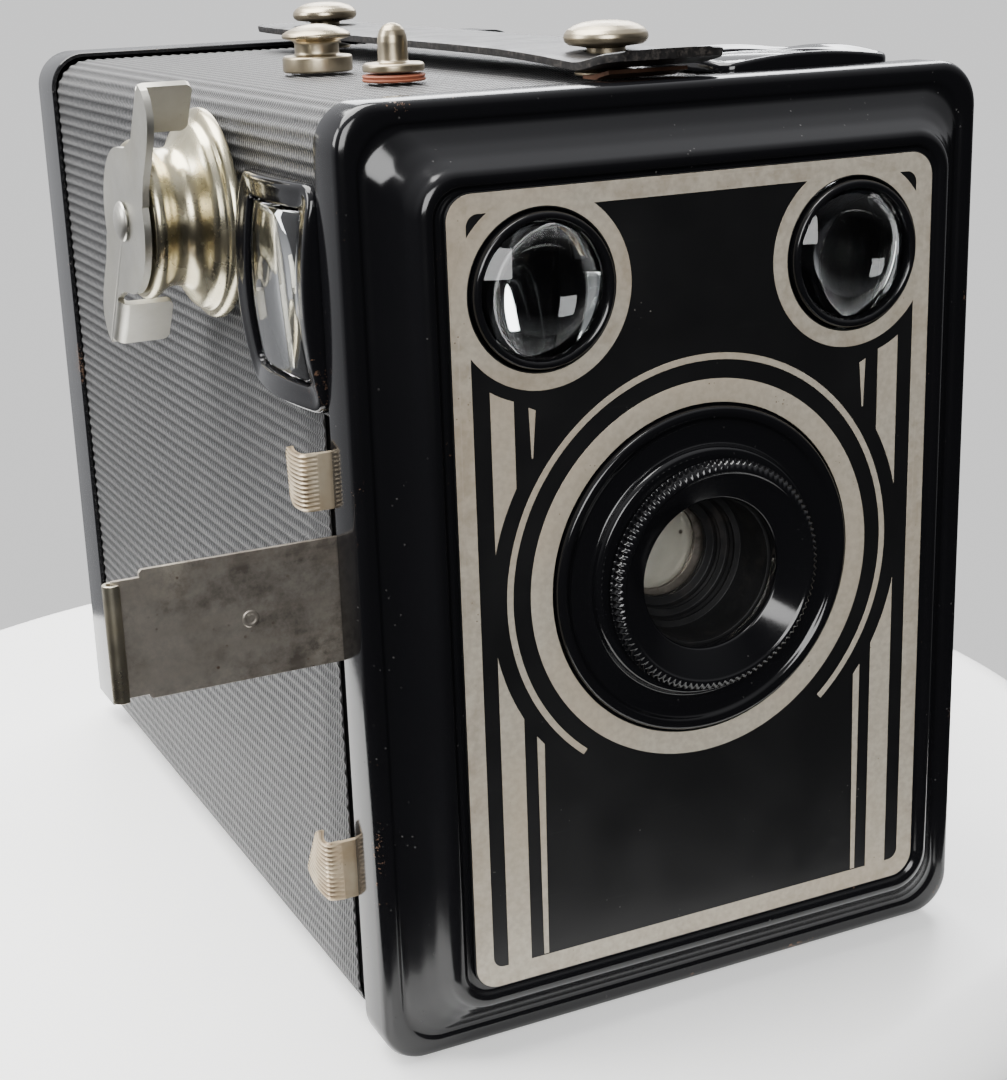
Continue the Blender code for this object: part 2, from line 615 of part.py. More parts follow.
def film_rollers():
    """Two steel rollers that turn the film at the top and bottom of the gate."""
    for name, z in zip(("film_roller_top", "film_roller_bottom"), ROLLER_Z):
        profile = [(0, -35.2), (0.9, -35.2), (0.9, -31.6), (ROLLER_R, -31.6), (ROLLER_R, 31.6),
                   (0.9, 31.6), (0.9, 35.2), (0, 35.2)]
        centre = (deep(ROLLER_DEEP), z)
        turned(name, profile, "X", centre, NICKEL, steps=20, origin=(0, *centre))


# Winder ---------------------------------------------------------------------------------------

def winder():
    """Grooved drum, key plate with two bent wings, rivet, shaft, and the bush it turns in."""
    centre = (deep(SPOOL_DEEP), TAKE_UP_Z)
    spot = {"origin": (-44.0, *centre)}
    drum = [(3.6, 39.4), (12.0, 39.4), (12.2, 39.9), (12.0, 40.7), (11.0, 41.1), (10.8, 41.8),
            (10.2, 42.3), (9.2, 42.8), (8.3, 43.5), (7.9, 44.4), (7.9, 45.4), (8.3, 46.4),
            (8.9, 47.1), (9.2, 47.8), (9.1, 48.4), (8.8, 48.8), (2.6, 48.8), (2.6, 45.0),
            (3.6, 45.0)]
    turned("winder_drum", [(r, -h) for r, h in drum], "X", centre, NICKEL, steps=32, **spot)
    shaft = [(0, 48.6), (SHAFT_R, 48.6), (SHAFT_R, 30.4), (1.7, 29.8), (0, 29.8)]
    turned("winder_shaft", [(r, -h) for r, h in shaft], "X", centre, STEEL, steps=24, **spot)
    rivet = [(0, 50.95), (1.2, 50.85), (2.0, 50.55), (2.35, 50.2), (1.3, 50.2), (1.3, 49.0), (0, 49.0)]
    turned("winder_rivet", [(r, -h) for r, h in rivet], "X", centre, NICKEL, steps=24, **spot)
    bush = [(2.6, 40.9), (3.3, 40.9), (3.3, 36.2), (2.6, 36.2)]
    turned("winder_bush", [(r, -h) for r, h in bush], "X", centre, BRASS, steps=28,
           origin=(-38.5, *centre))
    winder_key(centre, spot)


def winder_key(centre, spot):
    """The key plate is the same when turned half round: a round lobe and a wing at each end."""
    lobe = arc(8.4, -20, 86, 12)
    wing = [(-3.6, 8.2), (-8.8, 16.0), (-10.6, 15.9), (-12.4, 14.6), (-13.3, 12.5),
            (-12.0, 9.4), (-9.6, 5.6)]
    half = lobe + wing
    outline = [(centre[0] + u, centre[1] + v) for u, v in half + [(-u, -v) for u, v in half]]
    low, high = -49.9, -49.1
    plate = prism("winder_key", outline, "X", low, high, NICKEL, **spot)
    root, tip = Vector((-5.2, 10.7)), Vector((-8.7, 15.9))
    inward = Vector((root.y - tip.y, tip.x - root.x)).normalized() * 0.8
    for name, sign in (("top_flange", 1), ("bottom_flange", -1)):
        corners = [point * sign for point in (root, tip, tip + inward, root + inward)]
        flange = [(centre[0] + p.x, centre[1] + p.y) for p in corners]
        join(plate, prism(name, flange, "X", low + 0.1, -43.3, NICKEL))
    cut(plate, prism("key_bore", circle(1.7, centre, 20), "X", -52, -47, NICKEL))


# Top fittings ---------------------------------------------------------------------------------

def flash_contacts():
    """Mushroom stud and insulated pin of the flash shoe."""
    top = COVER_Z[1] + GAP
    stud = [(0, top), (4.2, top), (4.3, top + 0.3), (4.3, top + 1.7), (4.1, top + 1.95),
            (2.8, top + 2.0), (2.75, top + 3.7), (4.1, top + 4.1), (4.25, top + 4.4),
            (3.7, top + 4.9), (2.4, top + 5.4), (1.0, top + 5.65), (0, top + 5.7)]
    turned("flash_stud", stud, "Z", (-21.2, deep(51.4)), NICKEL)
    washer = [(0, top), (3.5, top), (3.6, top + 0.35), (3.5, top + 0.8), (0, top + 0.8)]
    turned("contact_washer", washer, "Z", (-21.2, deep(27.4)), FIBRE)
    base = top + 0.8 + GAP
    pin = [(0, base), (3.45, base), (3.5, base + 0.15), (3.45, base + 0.75), (3.2, base + 0.95),
           (1.75, base + 1.0), (1.7, base + 3.2), (1.5, base + 4.2), (1.1, base + 4.9),
           (0.5, base + 5.25), (0, base + 5.3)]
    turned("contact_pin", pin, "Z", (-21.2, deep(27.4)), NICKEL, steps=24)


def strap_height(depth):
    """Underside of the strap: raised at its front end, dipped under the front stud, then humped."""
    points = [(2.7, 109.1), (8.6, 108.05), (12.0, 108.1), (17.3, 108.4), (30.0, 108.8),
              (62.0, 109.0), (82.0, 109.1), (103.4, 109.2), (113.6, 109.4)]
    for (d0, z0), (d1, z1) in zip(points, points[1:]):
        if depth <= d1:
            share = (depth - d0) / (d1 - d0)
            share = share * share * (3 - 2 * share)
            return z0 + (z1 - z0) * share
    return points[-1][1]


def strap():
    """Leather carrying strap that runs front to back over two domed studs."""
    thick, rows = 1.1, 32
    first, last = 2.7, 113.6
    loops = []
    for k in range(rows + 1):
        depth = first + (last - first) * k / rows
        from_end = min(depth - first, last - depth)
        half = STRAP_HALF_WIDTH
        if from_end < 1.0:
            half -= 0.6 * (1 - math.sqrt(1 - (1 - from_end) ** 2))
        low = strap_height(depth)
        loops.append([(-half, deep(depth), low), (half, deep(depth), low),
                      (half, deep(depth), low + thick), (-half, deep(depth), low + thick)])
    piece = loft("carrying_strap", loops, LEATHER)
    for index, depth in enumerate(STUD_DEEP):
        hole = circle(2.6, (0.0, deep(depth)), 20)
        cut(piece, prism("strap_hole_%d" % index, hole, "Z", 105, 114, LEATHER))
        under = strap_height(depth)
        top = under + thick
        foot = COVER_Z[1] + GAP
        profile = [(0, foot), (3.6, foot), (3.6, foot + 0.4), (2.2, foot + 0.7), (2.2, top + 0.45),
                   (4.2, top + 0.7), (4.8, top + 1.4), (4.7, top + 2.0), (3.9, top + 2.7),
                   (2.2, top + 3.2), (0, top + 3.35)]
        name = ("strap_stud_front", "strap_stud_rear")[index]
        turned(name, profile, "Z", (0.0, deep(depth)), NICKEL)
    bracket()


def bracket():
    """Thin copper spring plate between the strap's front end and the top, bent up at its end."""
    low = COVER_Z[1] + GAP
    outline = [(deep(12.2), low), (deep(12.2), low + 0.4), (deep(10.6), low + 0.4),
               (deep(8.4), low + 0.75), (deep(6.4), low + 1.1), (deep(6.4), low + 0.7),
               (deep(8.2), low + 0.35), (deep(9.4), low)]
    prism("strap_plate", outline, "X", -5.2, 4.6, COPPER)


# Back -----------------------------------------------------------------------------------------

def knuckle(name, x0, x1, paint):
    centre = (deep(HINGE_DEEP), HINGE_Z)
    profile = [(KNUCKLE_BORE, x0), (KNUCKLE_R, x0), (KNUCKLE_R, x1), (KNUCKLE_BORE, x1)]
    return turned(name, profile, "X", centre, paint, steps=24)


def hinge():
    """Bottom hinge: the shell's bracket with its knuckle, and the pin."""
    centre = (deep(HINGE_DEEP), HINGE_Z)
    piece = knuckle("hinge_bracket", -11.4, 11.4, STEEL)
    tongue = box("hinge_tongue", (-11.2, deep(112.0), 2.4), (11.2, deep(123.1), 3.0), STEEL)
    join(piece, tongue)
    pin = [(0, -24.6), (PIN_R, -24.6), (PIN_R, 24.6), (0, 24.6)]
    turned("hinge_pin", pin, "X", centre, STEEL, steps=16)


def door():
    """Rear door: a shallow tray over the shell's end, open below, with hinge knuckles."""
    rim_x, rim_top, wall, back = 39.2, 107.6, 0.6, BODY_DEPTH
    place = {"origin": (0, deep(HINGE_DEEP), HINGE_Z)}

    def loop(inset, depth, radius):
        outline = rounded(-rim_x + inset, rim_x - inset, -6 + inset, rim_top - inset, radius)
        return [(x, deep(depth), z) for x, z in outline]

    front = back - DOOR_RIM
    loops = [loop(wall, back - 0.8, 4.4), loop(wall, front, 4.6), loop(0, front, 5.2),
             loop(0, back - 1.0, 5.2), loop(0.35, back - 0.3, 5.0), loop(1.1, back, 4.6)]
    piece = loft("rear_door", loops, ENAMEL, **place)
    cut(piece, box("door_bottom_room", (-50, deep(100), -10), (50, deep(140), 3.7), ENAMEL))
    for name, x0, x1 in (("left_knuckle", -24.0, -11.9), ("right_knuckle", 11.9, 24.0)):
        strip = box(name + "_strip", (x0, deep(back - 0.75), 1.9), (x1, deep(back - 0.05), 4.4), ENAMEL)
        join(piece, strip, knuckle(name, x0, x1, ENAMEL))
        bore = circle(KNUCKLE_BORE, (deep(HINGE_DEEP), HINGE_Z), 24)
        cut(piece, prism(name + "_bore", bore, "X", x0 - 0.3, x1 + 0.3, ENAMEL))
    window_hole = circle(6.3, (RED_WINDOW_X, LENS_Z), 28)
    cut(piece, prism("door_window_hole", window_hole, "Y", deep(120), deep(130), ENAMEL))
    red = circle(7.4, (RED_WINDOW_X, LENS_Z), 28)
    prism("red_window", red, "Y", deep(back - 1.7), deep(back - 1.1), RED)
    ring = [(6.4, GAP), (8.6, GAP), (8.5, 0.8), (7.9, 1.15), (7.2, 1.15), (6.5, 0.7)]
    turned("red_window_ring", [(r, deep(back + h)) for r, h in ring], "Y",
           (RED_WINDOW_X, LENS_Z), ENAMEL)


def pressure_plate():
    """Sprung plate in the door that holds the film flat, with a hole for the red window."""
    outline = rounded(-31.5, 31.5, 10.4, 97.6, 2.0, 2)
    piece = prism("pressure_plate", outline, "Y", deep(118.4), deep(119.0), INNER)
    hole = circle(5.5, (RED_WINDOW_X, LENS_Z), 28)
    cut(piece, prism("pressure_plate_hole", hole, "Y", deep(117), deep(120), INNER))
    rise, reach, steps = 4.6, 26.0, 12
    spots = [(-reach + 2 * reach * k / steps) for k in range(steps + 1)]
    front = [(deep(119.3 + rise * (1 - math.cos(math.pi * (1 - abs(s) / reach))) / 2), 54.0 + s)
             for s in spots]
    back = [(y + 0.35, z) for y, z in reversed(front)]
    prism("pressure_spring", front + back, "X", 2.0, 14.0, STEEL)


def door_catch():
    """Leaf under the shell's top that snaps against the closed door's rim."""
    z = SHELL_Z[1] - SHELL_WALL - GAP
    outline = [(deep(104.0), z), (deep(104.0), z - 0.4), (deep(118.5), z - 0.4),
               (deep(120.2), z - 1.1), (deep(121.8), z - 0.5), (deep(121.8), z - 0.1),
               (deep(120.2), z - 0.65), (deep(118.6), z)]
    prism("door_catch", outline, "X", -6.0, 6.0, STEEL)


def build():
    clear_scene()
    front_frame()
    face_plate()
    lens_surround()
    hood_ring()
    lens_tube()
    for side, x in (("left", -FINDER_X), ("right", FINDER_X)):
        finder_front(side, x)
    side_window()
    top_window()
    mirrors()
    mirror_brackets()
    slide_channel()
    filter_slide()
    levers()
    shutter_board()
    shutter_disc()
    shutter_spring()
    lens_group()
    body()
    tripod_bushes()
    film_carrier()
    spool("take_up_spool", TAKE_UP_Z)
    spool("feed_spool", FEED_Z)
    film_rollers()
    winder()
    flash_contacts()
    strap()
    hinge()
    door()
    pressure_plate()
    door_catch()
    bpy.context.view_layer.update()


build()
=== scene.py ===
import math

import bmesh
import bpy
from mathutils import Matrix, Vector


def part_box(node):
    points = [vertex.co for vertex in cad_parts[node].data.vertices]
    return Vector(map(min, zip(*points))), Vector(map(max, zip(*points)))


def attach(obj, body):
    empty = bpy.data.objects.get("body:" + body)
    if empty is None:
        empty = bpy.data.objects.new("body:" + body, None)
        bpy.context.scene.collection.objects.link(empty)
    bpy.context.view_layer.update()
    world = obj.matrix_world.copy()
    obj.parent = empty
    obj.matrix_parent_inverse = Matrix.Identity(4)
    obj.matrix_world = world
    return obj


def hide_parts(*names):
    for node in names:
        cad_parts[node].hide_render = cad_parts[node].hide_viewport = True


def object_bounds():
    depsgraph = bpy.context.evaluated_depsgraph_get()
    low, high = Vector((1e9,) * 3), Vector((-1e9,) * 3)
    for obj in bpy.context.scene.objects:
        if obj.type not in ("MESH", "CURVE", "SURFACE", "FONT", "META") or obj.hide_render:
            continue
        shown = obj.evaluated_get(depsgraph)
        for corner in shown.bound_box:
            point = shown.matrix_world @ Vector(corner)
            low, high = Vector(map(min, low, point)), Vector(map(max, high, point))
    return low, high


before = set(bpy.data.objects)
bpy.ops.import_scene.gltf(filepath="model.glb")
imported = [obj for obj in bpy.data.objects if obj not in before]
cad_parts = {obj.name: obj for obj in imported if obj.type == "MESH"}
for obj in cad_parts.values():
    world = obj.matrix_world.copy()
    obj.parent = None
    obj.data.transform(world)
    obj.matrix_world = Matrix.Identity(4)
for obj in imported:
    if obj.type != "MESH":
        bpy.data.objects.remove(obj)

MM = 0.001
BODY = "camera_body"
CAD_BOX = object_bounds()

# Camera and surroundings -------------------------------------

CAMERA_PLACE = (-0.10807, -0.18207, 0.12191)    # metres
CAMERA_TURN = (72.697, 1.894, -26.105)          # degrees about X, Y, Z
CAMERA_LENS = 64.45
TABLE_CENTRE = (-4.0, 77.0)
TABLE_R = 111.0


def span(node):
    """Lowest and highest corner of a CAD node, in millimetres."""
    low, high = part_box(node)
    return low / MM, high / MM


def middle(node):
    low, high = span(node)
    return (low + high) / 2


def across(node, axis):
    """A node's middle, seen along an axis."""
    mid = middle(node)
    return {"X": mid.yz, "Y": mid.xz, "Z": mid.xy}[axis]


FRAME_DEPTH = 5.9                               # from the front lip back to the frame's open edge
RIM = span("front_frame")[1].y - FRAME_DEPTH    # plane of the front lip
LENS = across("lens_surround", "Y")
LENS_X, LENS_Z = LENS
FINDERS = {side: across("finder_bezel_" + side, "Y") for side in ("left", "right")}
WINDER = across("winder_drum", "X")
LEFT = span("body_covering")[0].x
TOP = span("body_covering")[1].z
RIB_PITCH = 1.45                                # of the covering's ribs


def deep(depth):
    """Y of a point that lies this far behind the front lip."""
    return RIM + depth


PLATE_CUT = (deep(-8), deep(0))                 # Y range of a cut right through the face plate


# Materials ---------------------------------------------------

class Paint:
    """Builds one material's nodes."""

    def __init__(self, name, **sockets):
        self.material = bpy.data.materials.new(name)
        self.material.use_nodes = True
        self.tree = self.material.node_tree
        self.shader = self.tree.nodes["Principled BSDF"]
        self.place = self.node("ShaderNodeTexCoord").outputs["Object"]
        self.finish(**sockets)

    def put(self, socket, value):
        if isinstance(value, bpy.types.NodeSocket):
            self.tree.links.new(value, socket)
        elif socket.type == "RGBA" and len(value) == 3:
            socket.default_value = (*value, 1.0)
        else:
            socket.default_value = value

    def node(self, kind, settings=None, **inputs):
        made = self.tree.nodes.new(kind)
        for key, value in (settings or {}).items():
            setattr(made, key, value)
        for key, value in inputs.items():
            self.put(made.inputs[key.replace("_", " ")], value)
        return made

    def scaled(self, x=1.0, y=1.0, z=1.0, turn=(0.0, 0.0, 0.0)):
        made = self.node("ShaderNodeMapping", Vector=self.place, Scale=(x, y, z), Rotation=turn)
        return made.outputs["Vector"]

    def noise(self, scale, detail=3.0, rough=0.55, vector=None):
        made = self.node("ShaderNodeTexNoise", Vector=vector or self.place, Scale=scale,
                         Detail=detail, Roughness=rough)
        return made.outputs["Fac"]

    def cells(self, scale, vector=None):
        made = self.node("ShaderNodeTexVoronoi", Vector=vector or self.place, Scale=scale)
        return made.outputs["Distance"]

    def wave(self, scale, vector, bands="X"):
        made = self.node("ShaderNodeTexWave", {"bands_direction": bands}, Vector=vector,
                         Scale=scale, Distortion=1.0)
        return made.outputs["Fac"]

    def step(self, value, low, high, out_low=0.0, out_high=1.0):
        """The value's range from low to high, stretched onto another range."""
        made = self.node("ShaderNodeMapRange", Value=value, From_Min=low, From_Max=high,
                         To_Min=out_low, To_Max=out_high)
        return made.outputs["Result"]

    def maths(self, operation, a, b):
        made = self.node("ShaderNodeMath", {"operation": operation})
        self.put(made.inputs[0], a)
        self.put(made.inputs[1], b)
        return made.outputs[0]

    def times(self, a, b):
        return self.maths("MULTIPLY", a, b)

    def plus(self, a, b):
        return self.maths("ADD", a, b)

    def mix(self, share, a, b):
        made = self.node("ShaderNodeMix", {"data_type": "RGBA"})
        self.put(made.inputs[0], share)
        self.put(made.inputs[6], a)
        self.put(made.inputs[7], b)
        return made.outputs[2]

    def attribute(self, name):
        return self.node("ShaderNodeAttribute", {"attribute_name": name}).outputs["Fac"]

    def flecks(self, scale, size, patch, limits, detail=3.0):
        """Specks from small cells, kept only inside the patches of a coarser noise."""
        return self.times(self.step(self.cells(scale), *size),
                          self.step(self.noise(patch, detail), *limits))

    def worn(self, scale, low, high, rough=0.55):
        """Where the piece is marked as worn, broken up by noise."""
        return self.times(self.attribute("wear"),
                          self.step(self.noise(scale, 4, rough), low, high))

    def uneven(self, scale, low, high, detail=3.0):
        """A value that wanders between two limits."""
        return self.step(self.noise(scale, detail), 0.3, 0.7, low, high)

    def bump(self, height, distance_mm, strength=1.0, normal=None):
        made = self.node("ShaderNodeBump", Height=height, Strength=strength,
                         Distance=distance_mm * MM)
        if normal:
            self.put(made.inputs["Normal"], normal)
        return made.outputs["Normal"]

    def finish(self, **sockets):
        for key, value in sockets.items():
            self.put(self.shader.inputs[key.replace("_", " ")], value)
        return self.material


def enamel(name, base=(0.006, 0.006, 0.007), rough=(0.1, 0.2), dust=0.5):
    """Stoved black enamel: faint orange peel, dust specks, and chips to brown steel where worn."""
    p = Paint(name)
    dusty = p.times(p.flecks(900, (0.13, 0.06), 180, (0.56, 0.66), 2), dust)
    colour = p.mix(dusty, base, (0.16, 0.155, 0.15))
    chips = p.step(p.plus(p.noise(1900, 4, 0.7), p.times(p.noise(90, 2), 0.9)), 1.19, 1.23)
    worn = p.times(chips, p.attribute("wear"))
    rust = p.mix(p.noise(1500, 2), (0.05, 0.022, 0.012), (0.22, 0.13, 0.08))
    colour = p.mix(worn, colour, rust)
    roughness = p.plus(p.step(p.noise(60, 4), 0.3, 0.75, *rough), p.times(worn, 0.35))
    roughness = p.plus(roughness, p.times(dusty, 0.4))
    return p.finish(Base_Color=colour, Roughness=roughness,
                    Normal=p.bump(dusty, 0.03, 0.6, p.bump(p.noise(420, 2), 0.01, 0.5)))


def plate_black():
    """Black lacquer with long slanting scratches and pale dust."""
    p = Paint("plate_black")
    scratch = p.step(p.noise(40, 6, 0.7, p.scaled(1, 1, 22, (0, 0.5, 0))), 0.62, 0.8)
    colour = p.mix(scratch, (0.0075, 0.0075, 0.008), (0.02, 0.02, 0.02))
    colour = p.mix(p.flecks(1100, (0.12, 0.05), 160, (0.6, 0.7)), colour, (0.22, 0.21, 0.19))
    return p.finish(Base_Color=colour, Roughness=p.uneven(90, 0.3, 0.44),
                    Normal=p.bump(p.noise(900, 2), 0.006, 0.5))


def cream():
    """Cream lacquer: finely mottled, with a few brown specks and warmer worn edges."""
    p = Paint("cream_lacquer")
    colour = p.mix(p.step(p.noise(1400, 2), 0.35, 0.65), (0.47, 0.42, 0.335), (0.56, 0.51, 0.415))
    colour = p.mix(p.step(p.noise(45, 3), 0.45, 0.75, 0.0, 0.55), colour, (0.52, 0.41, 0.28))
    colour = p.mix(p.flecks(1500, (0.16, 0.08), 260, (0.58, 0.66)), colour, (0.13, 0.08, 0.045))
    colour = p.mix(p.worn(500, 0.42, 0.6), colour, (0.2, 0.13, 0.08))
    return p.finish(Base_Color=colour, Roughness=p.uneven(300, 0.42, 0.6),
                    Normal=p.bump(p.noise(1600, 2), 0.012, 0.5))


def covering():
    """Ribbed cloth-grained covering: the ribs are real, fine slanting threads cross them, and the
    crests carry a painted highlight.
    """
    p = Paint("ribbed_covering")
    thread = p.wave(470.0, p.scaled(turn=(0.32, 0.0, 0.0)), "Y")
    broken = p.times(thread, p.step(p.noise(1100, 2, 0.6), 0.2, 0.6, 0.5, 1.0))
    height = p.plus(broken, p.times(p.noise(2600, 2, 0.6), 0.5))
    colour = p.mix(p.step(height, 0.25, 1.0), (0.005, 0.005, 0.0055), (0.06, 0.06, 0.061))
    # painted highlight: lighter grey laid on the rib crests
    crest = p.times(p.step(p.attribute("crest"), 0.45, 1.0), p.step(height, 0.0, 0.9, 0.35, 1.0))
    colour = p.mix(crest, colour, (0.15, 0.15, 0.15))
    colour = p.mix(p.flecks(1300, (0.12, 0.05), 120, (0.55, 0.68)), colour, (0.2, 0.19, 0.18))
    colour = p.mix(p.step(p.noise(28, 3), 0.5, 0.8, 0.0, 0.3), colour, (0.045, 0.045, 0.044))
    return p.finish(Base_Color=colour, Roughness=p.step(height, 0.2, 1.0, 0.58, 0.4),
                    Normal=p.bump(height, 0.2, 1.0))


def inner_black():
    p = Paint("inner_black")
    colour = p.mix(p.step(p.noise(220, 5, 0.7), 0.55, 0.75), (0.008, 0.008, 0.0085),
                   (0.026, 0.022, 0.02))
    return p.finish(Base_Color=colour, Roughness=p.uneven(300, 0.38, 0.62),
                    Normal=p.bump(p.noise(900, 3), 0.02, 0.6))


def metal(name, light, dark, rough, speck=0.5, brushed=None, spot=(0.12, 0.085, 0.05),
          shine=1.0):
    """Aged plated metal: two tones, small dark pits, grime in grooves, lines where brushed."""
    p = Paint(name, Metallic=shine)
    colour = p.mix(p.step(p.noise(130, 4, 0.6), 0.35, 0.7), light, dark)
    pits = p.times(p.flecks(1700, (0.2, 0.08), 210, (0.5, 0.62)), speck)
    colour = p.mix(pits, colour, spot)
    colour = p.mix(p.worn(400, 0.2, 0.55), colour, spot)
    roughness = p.plus(p.uneven(170, *rough, detail=4), p.times(pits, 0.3))
    normal = p.bump(p.noise(700, 3), 0.012, 0.5)
    if brushed:
        normal = p.bump(p.noise(1.0, 2, 0.5, p.scaled(*brushed)), 0.01, 0.6, normal)
    return p.finish(Base_Color=colour, Roughness=roughness, Normal=normal)


def dark_steel():
    """Patinated steel strip: brown-grey blotches, paler streaks and small rust points."""
    p = Paint("patinated_steel", Metallic=0.85)
    blotch = p.step(p.noise(170, 6, 0.68), 0.36, 0.66)
    colour = p.mix(blotch, (0.13, 0.112, 0.096), (0.6, 0.55, 0.48))
    streak = p.step(p.noise(60, 4, 0.6, p.scaled(1, 1, 7)), 0.48, 0.7)
    colour = p.mix(p.times(streak, 0.55), colour, (0.42, 0.37, 0.31))
    pale = p.times(p.step(p.noise(420, 5, 0.75), 0.42, 0.6), p.step(p.noise(75), 0.5, 0.7))
    colour = p.mix(pale, colour, (0.55, 0.5, 0.42))
    colour = p.mix(p.flecks(950, (0.22, 0.1), 330, (0.55, 0.66)), colour, (0.09, 0.045, 0.022))
    return p.finish(Base_Color=colour, Roughness=p.step(blotch, 0.0, 1.0, 0.52, 0.34),
                    Normal=p.bump(p.noise(500, 5, 0.7), 0.02, 0.6))


def blade_steel():
    p = Paint("blade_steel")
    # pale grey steel with its base raised paler as painted light, standing in for the light the
    # blade inside the body hardly gets
    colour = p.mix(p.step(p.noise(240, 4), 0.3, 0.7), (0.6, 0.59, 0.56), (0.74, 0.73, 0.69))
    colour = p.mix(p.flecks(620, (0.24, 0.12), 270, (0.53, 0.6)), colour, (0.06, 0.035, 0.02))
    return p.finish(Base_Color=colour, Roughness=p.uneven(200, 0.4, 0.55),
                    Normal=p.bump(p.noise(900, 3), 0.01, 0.5))


def glass(name, tint=(0.96, 0.98, 0.98), rough=0.0):
    p = Paint(name, Base_Color=tint, Transmission_Weight=1.0, IOR=1.5)
    smear = p.step(p.noise(160, 5, 0.7), 0.55, 0.75, rough, rough + 0.035)
    return p.finish(Roughness=smear, Normal=p.bump(p.noise(60, 2), 0.004, 0.4))


def mirror():
    p = Paint("silvered_mirror", Metallic=1.0)
    colour = p.mix(p.flecks(700, (0.2, 0.1), 200, (0.56, 0.64)), (0.84, 0.85, 0.84),
                   (0.25, 0.2, 0.14))
    return p.finish(Base_Color=colour, Roughness=p.step(p.noise(120, 4), 0.4, 0.8, 0.02, 0.12))


def leather():
    """Black strap leather: pebbled top, creases across it, and a flecked cut edge."""
    p = Paint("strap_leather", Specular_IOR_Level=0.32)
    grain = p.cells(1150, p.scaled(1, 0.8, 1))
    creases = p.step(p.noise(130, 4, 0.6, p.scaled(0.5, 2.2, 1)), 0.45, 0.7)
    colour = p.mix(p.step(grain, 0.1, 0.5), (0.006, 0.0055, 0.0055), (0.017, 0.016, 0.016))
    colour = p.mix(p.worn(1500, 0.5, 0.66, 0.7), colour, (0.07, 0.062, 0.056))
    return p.finish(Base_Color=colour, Roughness=p.uneven(200, 0.34, 0.5),
                    Normal=p.bump(p.plus(grain, p.times(creases, -0.5)), 0.05, 0.7))


def fibre():
    """Red pressed fibre, in thin layers."""
    p = Paint("red_fibre")
    layers = p.wave(1500, p.scaled(0, 0, 1, (0, math.pi / 2, 0)))
    colour = p.mix(layers, (0.2, 0.045, 0.02), (0.42, 0.14, 0.07))
    return p.finish(Base_Color=colour, Roughness=p.uneven(500, 0.55, 0.75),
                    Normal=p.bump(p.noise(1200, 3), 0.02, 0.6))


def floor_paint():
    p = Paint("pale_floor", Emission_Strength=0.6)
    colour = p.mix(p.noise(9, 4), (0.86, 0.86, 0.85), (0.92, 0.92, 0.91))
    return p.finish(Base_Color=colour, Emission_Color=colour, Roughness=p.uneven(30, 0.3, 0.4))


ENAMEL = enamel("black_enamel")
ENAMEL_CLEAN = enamel("polished_enamel", rough=(0.06, 0.13), dust=0.25)
PLATE = plate_black()
CREAM = cream()
COVERING = covering()
INNER = inner_black()
NICKEL = metal("aged_nickel", (0.68, 0.63, 0.5), (0.5, 0.44, 0.31), (0.24, 0.42))
DRUM = metal("drum_nickel", (0.7, 0.65, 0.48), (0.5, 0.43, 0.28), (0.2, 0.34), 0.9,
             (0.2, 260, 260), (0.2, 0.14, 0.1))
KEY = metal("key_nickel", (0.64, 0.625, 0.57), (0.52, 0.5, 0.43), (0.34, 0.46), 0.3)
TABS = metal("tab_nickel", (0.72, 0.62, 0.46), (0.5, 0.36, 0.21), (0.34, 0.48), 0.8, shine=0.6)
STUDS = metal("stud_nickel", (0.5, 0.43, 0.31), (0.33, 0.27, 0.18), (0.24, 0.4), 0.5)
STEEL = metal("grey_steel", (0.36, 0.35, 0.33), (0.22, 0.2, 0.18), (0.34, 0.5))
BRASS = metal("old_brass", (0.62, 0.45, 0.2), (0.42, 0.28, 0.12), (0.25, 0.42))
COPPER = metal("copper_strip", (0.24, 0.13, 0.085), (0.09, 0.05, 0.035), (0.4, 0.6))
SLIDE = dark_steel()
BLADE = blade_steel()
GLASS = glass("clear_glass")
YELLOW = glass("yellow_glass", (0.985, 0.975, 0.92))
RED = glass("red_glass", (0.55, 0.012, 0.008), 0.05)
MIRROR = mirror()
LEATHER = leather()
FIBRE = fibre()
SPOOLS = enamel("spool_black", (0.012, 0.012, 0.012), (0.3, 0.45), 0.3)


# Shapes ------------------------------------------------------

SHARP = 38              # degrees; a fold sharper than this shows as an edge


def install(name, data, place=(0, 0, 0), turn=(0, 0, 0)):
    made = bpy.data.objects.new(name, data)
    made.location, made.rotation_euler = place, turn
    bpy.context.scene.collection.objects.link(made)
    return made


def shade(mesh, angle=SHARP):
    mesh.shade_smooth()
    mesh.set_sharp_from_angle(angle=math.radians(angle))


def make(name, verts, faces, paint, node=None, body=BODY, angle=SHARP, **marks):
    """A mesh piece from points in millimetres, riding on a body and standing for a CAD node.

    Each mark is a value per point that a paint can read."""
    mesh = bpy.data.meshes.new(name)
    mesh.from_pydata([Vector(v) * MM for v in verts], [], faces)
    for label, values in marks.items():
        mesh.attributes.new(label, "FLOAT", "POINT").data.foreach_set("value", values)
    work = bmesh.new()
    work.from_mesh(mesh)
    bmesh.ops.remove_doubles(work, verts=work.verts, dist=1e-7)
    bmesh.ops.recalc_face_normals(work, faces=work.faces)
    work.to_mesh(mesh)
    work.free()
    shade(mesh, angle)
    if paint:
        mesh.materials.append(paint)
    made = install(name, mesh)
    if body:
        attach(made, body)
    if node:
        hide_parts(node)
    return made


def along(axis, height, u, v):
    return {"X": (height, u, v), "Y": (u, height, v), "Z": (u, v, height)}[axis]


def arc(radius, start, end, steps, centre=(0.0, 0.0)):
    angles = [math.radians(start + (end - start) * k / steps) for k in range(steps + 1)]
    return [(centre[0] + radius * math.cos(a), centre[1] + radius * math.sin(a)) for a in angles]


def oblong(u0, u1, v0, v1):
    return [(u0, v0), (u1, v0), (u1, v1), (u0, v1)]


